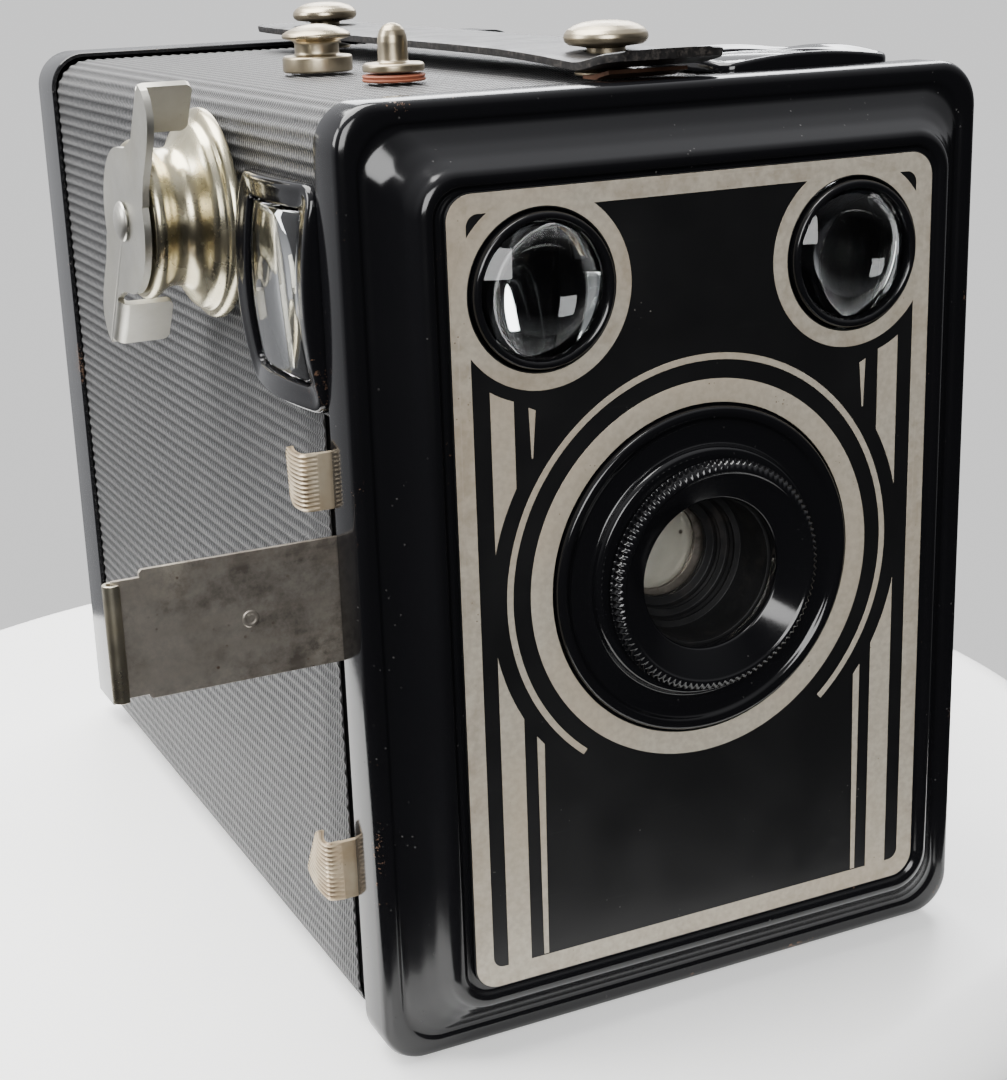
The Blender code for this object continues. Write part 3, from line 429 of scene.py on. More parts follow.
def rounded(x0, x1, z0, z1, radius, steps=8):
    corners = ((x1 - radius, z0 + radius, -90), (x1 - radius, z1 - radius, 0),
               (x0 + radius, z1 - radius, 90), (x0 + radius, z0 + radius, 180))
    return [p for x, z, a in corners for p in arc(radius, a, a + 90, steps, (x, z))]


def within(low, high, inset, radius, steps=12):
    """Rounded outline, set in from the front view of the box between two corners."""
    return rounded(low.x + inset, high.x - inset, low.z + inset, high.z - inset, radius, steps)


def softened(profile, radius, steps=3, closed=True):
    """The same line of points with each corner replaced by a short curve."""
    out = []
    count = len(profile)
    for i, point in enumerate(profile):
        here = Vector(point)
        if here.x < 1e-6 or (not closed and i in (0, count - 1)):
            out.append(tuple(here))
            continue
        before = Vector(profile[i - 1]) - here
        after = Vector(profile[(i + 1) % count]) - here
        reach = min(radius, 0.42 * before.length, 0.42 * after.length)
        start, end = here + before.normalized() * reach, here + after.normalized() * reach
        for k in range(steps + 1):
            t = k / steps
            out.append(tuple(start * (1 - t) ** 2 + here * 2 * t * (1 - t) + end * t * t))
    return out


def skin(loops, ring=False):
    """Points and faces between loops of equal length, capped unless it is a ring."""
    count = len(loops[0])
    verts = [point for loop in loops for point in loop]
    faces = []
    for i in range(len(loops) if ring else len(loops) - 1):
        a, b = i * count, (i + 1) % len(loops) * count
        for k in range(count):
            n = (k + 1) % count
            faces.append((a + k, a + n, b + n, b + k))
    if not ring:
        faces.append(tuple(range(count)))
        faces.append(tuple(range(len(verts) - count, len(verts))))
    return verts, faces


def loft(name, loops, paint, node=None, body=BODY, ring=False, wear=None, **more):
    """A skin over loops of points, with one value of wear for each loop."""
    if wear:
        more["wear"] = [w for w in wear for _ in loops[0]]
    return make(name, *skin(loops, ring), paint, node, body, **more)


def prism(name, outline, axis, low, high, paint, node=None, body=BODY, **more):
    loops = [[along(axis, h, u, v) for u, v in outline] for h in (low, high)]
    return loft(name, loops, paint, node, body, **more)


def turned(name, profile, axis, paint, node=None, centre=None, body=BODY, steps=96, soft=0.15,
           ripple=None, **more):
    """A profile of (radius, height) turned about an axis; ripple adds teeth to it.

    Without a centre it turns about the middle of the node that it stands for."""
    centre = across(node, axis) if centre is None else centre
    verts, faces, rows = [], [], []
    for radius, height in softened(profile, soft) if soft else profile:
        if radius < 1e-6:
            rows.append([len(verts)] * steps)
            verts.append(along(axis, height, *centre))
            continue
        rows.append(range(len(verts), len(verts) + steps))
        for k in range(steps):
            angle = 2 * math.pi * k / steps
            r = radius + (ripple(radius, height, angle) if ripple else 0.0)
            verts.append(along(axis, height, centre[0] + r * math.cos(angle),
                               centre[1] + r * math.sin(angle)))
    for a, b in zip(rows, rows[1:] + rows[:1]):
        for k in range(steps):
            n = (k + 1) % steps
            face = list(dict.fromkeys((a[k], a[n], b[n], b[k])))
            if len(face) > 2:
                faces.append(face)
    return make(name, verts, faces, paint, node, body, **more)


def cutter(outline, axis, low, high):
    return prism("cutter", outline, axis, low, high, None, body=None)


def drill(radius, centre, axis, low, high, steps=48):
    return cutter(arc(radius, 0, 360, steps, centre)[:-1], axis, low, high)


def carve(piece, *others, operation="DIFFERENCE", folded=False):
    """Applies Boolean cuts or joins and keeps only the result; folded is for a bent sheet."""
    for other in others:
        step = piece.modifiers.new("cut", "BOOLEAN")
        step.operation = operation
        step.solver = "EXACT"
        step.use_self = folded
        step.object = other
    bpy.context.view_layer.update()
    graph = bpy.context.evaluated_depsgraph_get()
    mesh = bpy.data.meshes.new_from_object(piece.evaluated_get(graph))
    piece.modifiers.clear()
    old, piece.data = piece.data, mesh
    bpy.data.meshes.remove(old)
    shade(mesh)
    for other in others:
        bpy.data.objects.remove(other, do_unlink=True)


def bevel(piece, width, segments=2, angle=30):
    step = piece.modifiers.new("edge", "BEVEL")
    step.width = width * MM
    step.segments = segments
    step.limit_method = "ANGLE"
    step.angle_limit = math.radians(angle)
    step.harden_normals = True
    step.use_clamp_overlap = True


# Front -------------------------------------------------------

def placed(profile):
    """A turned profile, given as depths behind the front lip."""
    return [(r, deep(d)) for r, d in profile]


def front_holes(lens_radius, steps, back):
    """Cutters for the lens and the two finders."""
    holes = [drill(lens_radius, LENS, "Y", deep(-8), back, steps)]
    return holes + [drill(8.45, finder, "Y", deep(-8), back, 96) for finder in FINDERS.values()]


def front_frame():
    """Pressed front: lip, cove, rounded ridge and the groove round the face plate."""
    low, high = span("front_frame")
    wall, corner, plateau, cove = 0.7, 4.8, -3.57, 6.6
    outside = [(0.0, FRAME_DEPTH), (0.0, 1.1), (0.25, 0.35), (1.0, 0.0), (2.1, 0.0), (2.55, 0.3),
               (3.1, 0.12), (4.6, -0.95), (5.8, -2.15), (6.55, -3.2), (7.05, -3.85),
               (7.7, -4.15), (8.35, -4.0), (8.75, plateau), (9.2, plateau)]
    inside = [(9.2, plateau + wall), (7.6, -3.1), (6.7, -2.0), (5.4, -0.6), (3.9, 0.7),
              (2.6, 0.95), (wall + 0.4, 0.8), (wall, 1.2), (wall, FRAME_DEPTH)]
    line = softened(outside, 0.45, 4, closed=False)

    def ring(inset, depth, radius):
        return [(x, deep(depth), z) for x, z in within(low, high, inset, radius)]

    def radius_at(inset):
        return corner if inset < cove else corner - 0.8 * (inset - cove)

    loops = [ring(e, d, max(1.0, radius_at(e) - (wall if e < cove else 0.4))) for e, d in inside]
    loops += [ring(e, d, radius_at(e)) for e, d in line]
    worn = [0.0] * len(inside)
    worn += [1.0 if e < 1.1 and d < 0.9 else 0.7 if e > 8.4 else 0.0 for e, d in line]
    piece = loft("front_frame_shell", loops, ENAMEL, "front_frame", wear=worn)
    carve(piece, *front_holes(9.4, 96, deep(4)))


def face_plate():
    """Black lacquered plate with its raised cream lining: border, rings and bars."""
    low, high = span("face_plate")
    piece = prism("face_plate_sheet", within(low, high, 0, 2.9), "Y", low.y, high.y, PLATE,
                  "face_plate")
    carve(piece, *front_holes(19.0, 128, deep(0)))
    bevel(piece, 0.06)
    depths = (low.y - 0.045, low.y + 0.1)
    cream_border(low, high, depths)
    cream_rings(depths)
    cream_bars(low.z + 2.4, depths)


def cream_border(low, high, depths):
    """Lining along the plate's edge, widened to a ring round each finder."""
    border = prism("cream_border", within(low, high, 0.12, 2.8), "Y", *depths, CREAM,
                   wear=[0.25, 0.25])
    inner = rounded(-27.62, 27.62, low.z + 2.46, high.z - 2.18, 1.3)
    carve(border, cutter(inner, "Y", *PLATE_CUT))
    for finder in FINDERS.values():
        carve(border, drill(10.4, finder, "Y", *depths, 96), operation="UNION")
    for finder in FINDERS.values():
        carve(border, drill(8.6, finder, "Y", *PLATE_CUT, 96))
    bevel(border, 0.03, 1)


def cream_strip(name, outline, depths, *cutters):
    strip = prism(name, outline, "Y", *depths, CREAM)
    if cutters:
        carve(strip, *cutters)
    bevel(strip, 0.03, 1)


def cream_rings(depths):
    """Wide ring round the lens, and a thin one outside it that is open below."""
    turned("cream_main_ring", oblong(19.05, 21.66, *depths), "Y", CREAM, centre=LENS, steps=160,
           soft=0.03)
    first, last = -49.5, 230.1
    outline = arc(24.47, first, last, 120, LENS) + arc(23.73, last, first, 120, LENS)
    cream_strip("cream_thin_ring", outline, depths)


def cream_bars(foot, depths):
    """Wide and tapering thin bars beside the lens, the same on both sides."""
    for (side, finder), s in zip(FINDERS.items(), (-1, 1)):
        for name, x0, x1, z0, z1 in (("upper_wide", 25.63, 22.95, LENS_Z + 2, finder[1]),
                                     ("lower_wide", 25.8, 22.9, foot, LENS_Z)):
            cream_strip("cream_%s_%s" % (name, side), oblong(s * x0, s * x1, z0, z1), depths,
                        drill(26.35, LENS, "Y", *PLATE_CUT, 160),
                        drill(11.75, finder, "Y", *PLATE_CUT, 96))
        upper = [(21.26, 75.4), (20.44, 75.0), (20.88, 69.9), (21.06, 69.9)]
        lower = [(21.4, 38.6), (20.5, 37.5), (20.7, foot + 0.2), (21.3, foot + 0.2)]
        for name, points in (("upper_thin", upper), ("lower_thin", lower)):
            cream_strip("cream_%s_%s" % (name, side), [(s * x, z) for x, z in points], depths)


def lens_front():
    """Dish, knurled hood ring and the stepped tube behind it."""
    back = -3.87
    dish = [(18.72, back), (18.72, -4.5), (18.5, -4.9), (18.0, -5.05), (17.5, -4.85),
            (17.15, -4.5), (16.7, -4.33), (14.75, -4.33), (14.45, -4.45), (14.25, -4.95),
            (13.95, -5.3), (13.6, -5.35), (9.5, -5.35), (9.5, back)]
    piece = turned("lens_dish", placed(dish), "Y", ENAMEL_CLEAN, "lens_surround", LENS,
                   steps=160, soft=0.18)
    teeth, tooth = 104, 0.34
    hood = [(13.2, -6.4), (13.2, -6.7), (13.2, -7.0), (13.0, -7.3), (12.7, -7.52), (12.3, -7.66),
            (12.0, -7.68), (11.8, -7.5), (8.75, -5.95), (8.6, -5.75), (8.6, -4.5), (9.15, -4.5),
            (9.15, -5.75), (12.6, -5.75), (12.6, -6.2)]

    def knurl(radius, height, angle):
        if radius < 12.2 or height > deep(-6.5):
            return 0.0
        return -tooth * (1 + math.cos(angle * teeth)) / 2

    piece = turned("knurled_hood", placed(hood), "Y", ENAMEL_CLEAN, "hood_ring", LENS,
                   steps=teeth * 6, soft=0.12, ripple=knurl, angle=50)
    tube = [(9.1, -4.2), (9.1, 5.2), (5.6, 5.2), (5.6, 4.4), (6.6, 4.4), (6.75, 3.9), (6.6, 3.6),
            (6.85, 3.3), (6.7, 3.0), (7.5, 3.0), (7.65, 2.6), (7.5, 2.3), (7.75, 1.9), (7.6, 1.4),
            (8.4, 1.4), (8.4, -4.2)]
    turned("threaded_lens_tube", placed(tube), "Y", INNER, "lens_tube", LENS, soft=0.08)


def finders():
    """Round bezels, each with a thick domed glass in it."""
    barrel = [(8.15, 3.0), (8.15, -4.7), (8.0, -5.05), (7.65, -5.18), (7.3, -5.0), (7.18, -4.6),
              (7.2, -2.2), (7.2, 1.0), (6.2, 1.0), (6.2, 1.6), (7.2, 1.6), (7.2, 3.0)]
    half, front_rise, back_rise = 6.9, 1.95, 1.75
    pane = [(r, deep(-4.3) - b) for r, b in dome(half, front_rise)]
    pane += [(r, deep(-2.6) + b) for r, b in reversed(dome(half, back_rise))]
    for side, finder in FINDERS.items():
        piece = turned("finder_barrel_" + side, placed(barrel), "Y", ENAMEL_CLEAN,
                       "finder_bezel_" + side, soft=0.12)
        turned("finder_glass_" + side, pane, "Y", GLASS, "finder_lens_" + side, finder, soft=0)


def dome(half, rise, count=20):
    """(radius, height) points from the top of a round cap down to its rim."""
    curve = (half * half + rise * rise) / (2 * rise)
    return [(half * k / count, math.sqrt(curve ** 2 - (half * k / count) ** 2) - curve + rise)
            for k in range(count + 1)]


def window(name, place, half_u, half_v, crest, fall):
    """Pressed window frame that bulges towards its middle, and its bulged pane."""
    bend, side = 6, 10              # steps round a corner and along a side

    def ring(hu, hv, radius, lift):
        points = []
        corners = rounded(-hu, hu, -hv, hv, radius, bend)
        for k, a in enumerate(corners):
            b = corners[(k + 1) % len(corners)]
            points.append(a)
            if k % (bend + 1) == bend:
                points += [(a[0] + (b[0] - a[0]) * t / side, a[1] + (b[1] - a[1]) * t / side)
                           for t in range(1, side)]
        return [place(u, v, lift(u, v)) for u, v in points]

    def sunk(depth):
        return lambda u, v: crest - (u * u + v * v) / fall - depth

    def flat(height):
        return lambda u, v: height

    shape = [(0.0, flat(0.3), 2.2), (0.0, sunk(0.5), 2.2), (0.06, sunk(0.2), 2.15),
             (0.2, sunk(0.06), 2.1), (0.4, sunk(0.02), 2.0), (0.7, sunk(0.06), 1.8),
             (1.0, sunk(0.22), 1.6), (1.8, sunk(0.5), 1.35), (2.5, sunk(0.72), 1.15),
             (2.75, sunk(0.84), 1.05), (2.85, sunk(1.0), 1.0), (2.85, flat(0.3), 1.0)]
    rim_u, rim_v = 2.9, 2.7
    loops = [ring(half_u - inset, half_v - inset * rim_v / rim_u, radius, lift)
             for inset, lift, radius in shape]
    worn = [0.2, 0.5, 0.9, 0.9, 0.5, 0.2, 0.1, 0.1, 0.3, 0.8, 0.5, 0.0]
    piece = loft(name + "_rim", loops, ENAMEL_CLEAN, name + "_frame", ring=True, wear=worn,
                 angle=50)
    pane_u, pane_v = half_u - rim_u - 0.3, half_v - rim_v - 0.3
    back, edge, face = flat(-0.9), sunk(1.35), sunk(1.22)
    shares = [(0.5, back), (1.0, back), (1.0, edge), (0.97, face)]
    shares += [(0.1 * k, face) for k in range(9, 0, -1)]
    rings = [ring(pane_u * t, pane_v * t, max(0.05, 0.8 * t), lift) for t, lift in shares]
    loft(name + "_pane", rings, GLASS, name + "_glass", angle=60)


def windows():
    low, high = span("side_window_frame")
    mid, half = (low + high) / 2, (high - low) / 2
    window("side_window", lambda u, v, h: (LEFT - h, mid.y + u, mid.z + v), half.y, half.z,
           3.9, 90.0)
    low, high = span("top_window_frame")
    mid, half = (low + high) / 2, (high - low) / 2
    window("top_window", lambda u, v, h: (mid.x + u, mid.y + v, TOP + h), half.x, half.y,
           2.9, 130.0)


# Body --------------------------------------------------------

def ribbed(outline, pitch, height, per_rib=6):
    """An outline walked at even steps, with small round ribs standing out from it."""
    closed = outline + outline[:1]
    lengths = [math.dist(a, b) for a, b in zip(closed, closed[1:])]
    total = sum(lengths)
    count = round(total / pitch) * per_rib
    outer, inner, crests = [], [], []
    edge, walked = 0, 0.0
    for k in range(count):
        target = total * k / count
        while walked + lengths[edge] < target:
            walked += lengths[edge]
            edge += 1
        a, b = Vector(closed[edge]), Vector(closed[edge + 1])
        ahead = (b - a).normalized()
        out = Vector((ahead.y, -ahead.x))
        crest = (1 + math.cos(2 * math.pi * (k % per_rib) / per_rib)) / 2
        point = a + ahead * (target - walked)
        outer.append(point + out * (height * crest ** 1.4 - height))
        inner.append(point - out * 0.3)
        crests.append(crest)
    return outer, inner, crests


def body_covering():
    """Ribbed wrap round the body, with openings for all that comes through it."""
    low, high = span("body_covering")
    outer, inner, crests = ribbed(within(low, high, 0, 5.1, 16), RIB_PITCH, 0.2)
    stations = [low.y + (high.y - low.y) * k / 10 for k in range(11)]
    loops = []
    for points, depths in ((inner, stations[:1]), (outer, stations), (inner, stations[-1:])):
        loops += [[(p.x, y, p.y) for p in points] for y in depths]
    piece = loft("ribbed_covering", loops, COVERING, "body_covering", ring=True, angle=70,
                 crest=crests * len(loops))
    left = (-50, -34)
    carve(piece, cutter(oblong(deep(5.2), deep(10.2), 3.4, 74.2), "X", *left),
          cutter(oblong(deep(9.0), deep(25.4), 77.4, 96.0), "X", *left),
          drill(3.7, WINDER, "X", *left),
          cutter(oblong(12.1, 29.1, deep(8.9), deep(25.1)), "Z", 100, 112),
          drill(5.3, across("tripod_bush_bottom", "Z"), "Z", -3, 6),
          drill(5.3, across("tripod_bush_side", "X"), "X", 34, 44))


def rear_door():
    """Pressed tray with rounded edges, ribbed panel, red window and its ring."""
    low, high = span("rear_door")
    wall, edge, back, foot = 0.6, 1.15, high.y, -6
    rims = [(wall, back - 0.8, 4.4), (wall, low.y + 0.02, 4.6), (0.12, low.y, 5.1),
            (0.0, low.y + 0.15, 5.2)]
    for k in range(7):
        angle = math.radians(15 * k)
        turn = 1 - math.cos(angle)
        rims.append((edge * turn, back - edge * (1 - math.sin(angle)), 5.2 - 0.6 * turn))
    rims.append((9.0, back, 3.0))
    loops = [[(x, y, z) for x, z in rounded(low.x + inset, high.x - inset, foot + inset,
                                            high.z - inset, radius, 12)]
             for inset, y, radius in rims]
    worn = [0.0, 0.6, 1.0, 0.8, 0.1] + [0.3] * (len(loops) - 5)
    piece = loft("door_tray", loops, ENAMEL, "rear_door", "rear_door", wear=worn)
    red = across("red_window", "Y")
    carve(piece, cutter(oblong(-50, 50, deep(100), deep(140)), "Z", -10, 3.7),
          drill(6.3, red, "Y", deep(118), deep(130), 64))
    for side, x0, x1 in (("left", -24.0, -11.9), ("right", 11.9, 24.0)):
        knuckle("door_knuckle_" + side, x0, x1, ENAMEL, body="rear_door")
        strip = oblong(back - 0.75, back - 0.05, 1.9, 4.4)
        bevel(prism("door_hinge_strip_" + side, strip, "X", x0, x1, ENAMEL, body="rear_door"), 0.1)
    y = span("red_window_ring")[0].y
    rim = [(6.4, y), (8.6, y), (8.5, y + 0.5), (7.95, y + 0.85), (7.2, y + 0.85), (6.5, y + 0.4)]
    turned("red_window_rim", rim, "Y", ENAMEL_CLEAN, "red_window_ring", red, "rear_door")
    disc("red_window_disc", "red_window", 7.4, red, RED, "rear_door", soft=0.08)
    door_panel(low, high, red)


def disc(name, node, radius, centre, paint, body, **more):
    """A plain round pane between a node's front and back."""
    low, high = span(node)
    turned(name, oblong(0, radius, low.y, high.y), "Y", paint, node, centre, body, **more)


def door_panel(low, high, red):
    """Ribbed covering let into the door's back, with the window's ring standing clear of it."""
    z0, z1, y = 8.5, high.z - 5.0, high.y
    per_rib = 6
    steps = int((z1 - z0) / RIB_PITCH) * per_rib
    outline = [(y - 0.2, z0)]
    for k in range(steps + 1):
        lift = 0.17 * ((1 - math.cos(2 * math.pi * k / per_rib)) / 2) ** 1.4
        outline.append((y + 0.03 + lift, z0 + (z1 - z0) * k / steps))
    outline.append((y - 0.2, z1))
    panel = prism("door_covering", outline, "X", low.x + 5.0, high.x - 5.0, COVERING,
                  body="rear_door", angle=70)
    carve(panel, drill(8.9, red, "Y", y - 3, y + 3, 64))


def knuckle(name, x0, x1, paint, node=None, body=BODY):
    """A rolled part of the hinge, round its pin."""
    turned(name, oblong(1.15, 1.6, x0, x1), "X", paint, node, across("hinge_pin", "X"), body,
           steps=48, soft=0.12)


def hinge():
    knuckle("hinge_knuckle", -11.4, 11.4, STEEL, "hinge_bracket")
    first, last = span("hinge_bracket")[0].y + 0.1, middle("hinge_pin").y - 1.0
    bevel(prism("hinge_tongue", oblong(first, last, 2.4, 3.0), "X", -11.2, 11.2, STEEL), 0.1)
    low, high = span("hinge_pin")
    turned("hinge_wire", oblong(0, 0.75, low.x, high.x), "X", STEEL, "hinge_pin", steps=32,
           soft=0.2)


def tripod():
    """Threaded sockets under the body and in its right side."""
    pitch = 0.9
    for node, name, axis, sign in (("tripod_bush_bottom", "tripod_thread_bottom", "Z", 1),
                                   ("tripod_bush_side", "tripod_thread_side", "X", -1)):
        low, high = span(node)
        mouth, depth = (low.z, high.z - low.z) if axis == "Z" else (high.x, high.x - low.x)
        floor = depth - 1.0
        threads = [(3.5, 0.0)]
        for k in range(int((floor - 0.5) / pitch)):
            threads += [(3.25, 0.5 + pitch * k), (2.85, 0.5 + pitch * (k + 0.5))]
        line = [(0, floor), *reversed(threads), (5.0, 0.0), (5.0, depth), (0, depth)]
        turned(name, [(r, mouth + sign * h) for r, h in line], axis, STEEL, node, steps=64,
               soft=0.06)


# Winder ------------------------------------------------------

def winder():
    """Grooved drum, key and rivet outside; sleeve and spindle inside."""
    foot = span("winder_drum")[1].x
    drum = [(3.6, 0.0), (11.9, 0.0), (12.15, 0.2), (12.2, 0.6), (12.1, 1.1), (11.75, 1.45),
            (11.2, 1.65), (10.95, 2.1), (10.75, 2.5), (10.2, 2.95), (9.3, 3.4), (8.6, 3.9),
            (8.1, 4.5), (7.9, 5.2), (7.95, 6.1), (8.25, 6.9), (8.8, 7.6), (9.15, 8.2),
            (9.15, 8.8), (8.85, 9.3), (2.6, 9.4), (2.6, 5.6), (3.6, 5.6)]
    turned("grooved_drum", [(r, foot - h) for r, h in drum], "X", DRUM, "winder_drum", WINDER,
           "winder", steps=128, soft=0.35)
    low, high = span("winder_rivet")
    length = high.x - low.x
    rivet = [(0, 0.0), (0.6, 0.03), (1.2, 0.12), (1.8, 0.32), (2.2, 0.55), (2.35, 0.78),
             (1.3, 0.78), (1.3, length), (0, length)]
    turned("key_rivet", [(r, low.x + h) for r, h in rivet], "X", KEY, "winder_rivet", WINDER,
           "winder", steps=64, soft=0.08)
    key_plate()
    low, high = span("winder_bush")
    turned("winder_sleeve", oblong(2.6, 3.3, low.x, high.x), "X", BRASS, "winder_bush", WINDER,
           "winder_collar", steps=64)
    low, high = span("winder_shaft")
    spindle = [(0, low.x), (2.2, low.x), (2.2, high.x - 0.6), (1.7, high.x), (0, high.x)]
    turned("winder_spindle", spindle, "X", STEEL, "winder_shaft", WINDER, "winder", steps=48,
           soft=0.1)


def key_plate():
    """Sheet key: flat lobes, with a wing at each end bent round towards the body."""
    low, high = span("winder_key")
    outer, thick, bend = low.x, 0.8, 0.55
    root, tip = Vector((-5.2, 10.7)), Vector((-8.7, 15.9))     # ends of one wing's bent edge
    line = (tip - root).normalized()
    inward = Vector((-line.y, line.x))
    start = 1.35                                # the bend begins this far in from the edge
    middle_r = bend + thick / 2
    quarter = middle_r * math.pi / 2            # sheet taken up by the bend
    flat = quarter + (high.x - outer) - start
    edge_root, edge_tip = root + inward * start, tip + inward * start
    out_root, out_tip = edge_root - inward * flat, edge_tip - inward * flat

    def blunt(point, way):
        """Three points round a wing's corner."""
        first, last = point + inward * 0.7, point + way * 0.7
        return [tuple(first), tuple(point * 0.3 + last * 0.3 + first * 0.4), tuple(last)]

    half = arc(8.4, -16, 84, 24) + [(-2.6, 8.5), (-4.6, 9.2), tuple(edge_root)]
    half += blunt(out_root, line) + blunt(out_tip, -line)[::-1] + [tuple(edge_tip)]
    half += [(-10.6, 15.9), (-11.7, 15.3), (-12.6, 14.3), (-13.2, 12.9), (-13.1, 11.4),
             (-12.3, 9.6), (-11.0, 7.5), (-9.7, 5.7), (-8.9, 4.0), (-8.5, 2.6)]
    points = half + [(-u, -v) for u, v in half]
    work = bmesh.new()
    work.faces.new([work.verts.new((u, v, 0)) for u, v in points])
    for sign in (1, -1):
        for k in range(9):
            spot = (edge_root - inward * (quarter * k / 8)) * sign
            bmesh.ops.bisect_plane(work, geom=work.verts[:] + work.edges[:] + work.faces[:],
                                   plane_co=(*spot, 0), plane_no=(*inward * sign, 0))
    for item in bmesh.ops.extrude_face_region(work, geom=work.faces[:])["geom"]:
        if isinstance(item, bmesh.types.BMVert):
            item.co.z = thick
    for vert in work.verts:
        u, v, h = vert.co
        spot = Vector((u, v))
        vert.co = (outer + h, WINDER[0] + u, WINDER[1] + v)
        for sign in (1, -1):
            here = spot - edge_root * sign
            past, beside = -here.dot(inward) * sign, here.dot(line) * sign
            on_wing = spot.dot(root) * sign > 0 and -0.2 < beside < (tip - root).length + 0.2
            if past > 1e-5 and on_wing:
                angle = min(past / middle_r, math.pi / 2)
                radius = bend + thick - h
                drop = bend + thick - radius * math.cos(angle) + max(0.0, past - quarter)
                place = spot + inward * sign * (past - radius * math.sin(angle))
                vert.co = (outer + drop, WINDER[0] + place.x, WINDER[1] + place.y)
    verts = [tuple(vert.co) for vert in work.verts]
    work.verts.index_update()
    faces = [[vert.index for vert in face.verts] for face in work.faces]
    work.free()
    piece = make("bent_key", verts, faces, KEY, "winder_key", "winder", angle=50)
    carve(piece, drill(1.7, WINDER, "X", outer - 3, outer + 3), folded=True)
    bevel(piece, 0.14, 3, 40)


# Levers and filter slide -------------------------------------

ARM = (7.7, 8.3)                # depths between which the lever arms lie
ARM_END = -40.4                 # X at which an arm turns into its thumb tab


def thumb_tab(name, low, high, end_low, end_high, rise, body):
    """Ribbed thumb tab: out of the slot, round a bend and back along the side."""
    lever, thick, side, turn = deep(ARM[0]), 0.65, -42.3, 0.85
    centre = (side + turn, lever + turn)
    ribs, per_rib, columns = 13, 6, 24
    blunt = 1.1                                 # radius of the corners at the tab's end
    root = [(ARM_END + (centre[0] - ARM_END) * k / 3, lever) for k in range(3)]
    loops, worn = [], []
    for j in range(ribs * per_rib + 1):
        share = j / (ribs * per_rib)
        reach = end_low + (end_high - end_low) * share
        corner = min(share, 1 - share) * (high - low)
        if corner < blunt:
            reach -= blunt - math.sqrt(max(0.0, blunt ** 2 - (blunt - corner) ** 2))
        base = low + (high - low) * share
        hollow = (1 + math.cos(2 * math.pi * j / per_rib)) / 2
        groove = 0.22 * hollow
        front = [(x, y + groove * k / 3, base) for k, (x, y) in enumerate(root)]
        front += [(x, y, base) for x, y in arc(turn - groove, -90, -180, 8, centre)]
        back = [(x, y + thick, base) for x, y in root]
        back += [(x, y, base) for x, y in arc(turn - thick, -90, -180, 8, centre)]
        for k in range(1, columns + 1):
            t = k / columns
            y = centre[1] + (deep(reach) - centre[1]) * t
            x = side - 0.22 * math.sin(math.pi * t) + 0.12 * t
            z = base + rise * t * t
            front.append((x + groove * min(1.0, (1.0 - t) / 0.06), y, z))
            back.append((x + thick - 0.1, y, z))
        loops.append(front + back[::-1])
        worn += [hollow * min(1.0, k / 4) for k in range(len(front))] + [0.0] * len(back)
    verts, faces = skin(loops)
    faces, count = faces[:-2], len(loops[0])    # the bent sides are closed in strips instead
    for first in (0, len(verts) - count):
        faces += [(first + k, first + k + 1, first + count - k - 2, first + count - k - 1)
                  for k in range(count // 2 - 1)]
    make(name, verts, faces, TABS, body=body, angle=60, wear=worn)


def levers():
    """Release lever below and time lever above: an arm inside, a thumb tab outside."""
    x, z = release = (-12.0, 21.0)
    arm = [(ARM_END, 18.3), (-34.0, 18.3), (x, z - 3.2)] + arc(3.2, -90, 0, 10, release)
    arm += [(x + 3.2, z + 9.0), (x + 0.6, z + 9.0), (x - 0.8, z + 3.4), (-34.0, 25.4),
            (ARM_END, 25.4)]
    lever_arm("release_arm", arm, release, "release_lever")
    thumb_tab("release_tab", 18.3, 25.4, 15.2, 10.9, 0.9, "release_lever")
    x, z = time = (-14.0, 67.6)
    arm = [(ARM_END, 64.3), (-34.0, 64.3), (x, z - 3.0)] + arc(3.0, -90, 90, 16, time)
    arm += [(-34.0, 70.6), (ARM_END, 70.6)]
    lever_arm("time_arm", arm, time, "time_lever")
    thumb_tab("time_tab", 64.3, 70.6, 12.0, 12.6, 0.2, "time_lever")


def lever_arm(name, outline, pivot, lever):
    piece = prism(name, outline, "Y", deep(ARM[0]), deep(ARM[1]), TABS, lever, lever)
    carve(piece, drill(1.9, pivot, "Y", deep(6), deep(10)))
    bevel(piece, 0.08)


def filter_slide():
    """Steel strip with its three openings, punched detent mark and rolled grip."""
    front = deep(6.4)
    back = front + 0.5
    outer, inner = 0.95, 0.5                    # radii of the rolled grip
    grip = (span("filter_slide")[0].x + outer, (front + back) / 2)
    outline = [(9.0, 47.5), (9.0, 61.6), (-60.6, 61.6), (-60.9, 61.3), (-60.9, 60.8),
               (grip[0], 60.8), (grip[0], 48.0), (-60.9, 48.0), (-60.9, 47.8), (-60.6, 47.5)]
    piece = prism("steel_filter_slide", outline, "Y", front, back, SLIDE, "filter_slide",
                  "filter_slide")
    carve(piece, *[drill(radius, (LENS_X - 11.5 * k, LENS_Z), "Y", front - 1, back + 1, 64)
                   for k, radius in enumerate((5.3, 3.1, 4.5))])
    bevel(piece, 0.07)
    roll = arc(outer, 20, 320, 36, grip) + arc(inner, 320, 20, 36, grip)
    bevel(prism("slide_roll", roll, "Z", 47.7, 60.5, NICKEL, body="filter_slide"), 0.08)
    mark = [(0, -0.02), (0.45, -0.03), (0.62, -0.1), (0.85, -0.1), (1.0, 0.02), (1.0, 0.1), (0, 0.1)]
    turned("detent_mark", [(r, front + h) for r, h in mark], "Y", SLIDE, centre=(-49.4, 54.2),
           body="filter_slide", steps=40, soft=0.05)
    disc("yellow_disc", "yellow_filter", 6.3, LENS, YELLOW, "filter_slide", steps=64, soft=0.06)


# Top fittings ------------------------------------------------

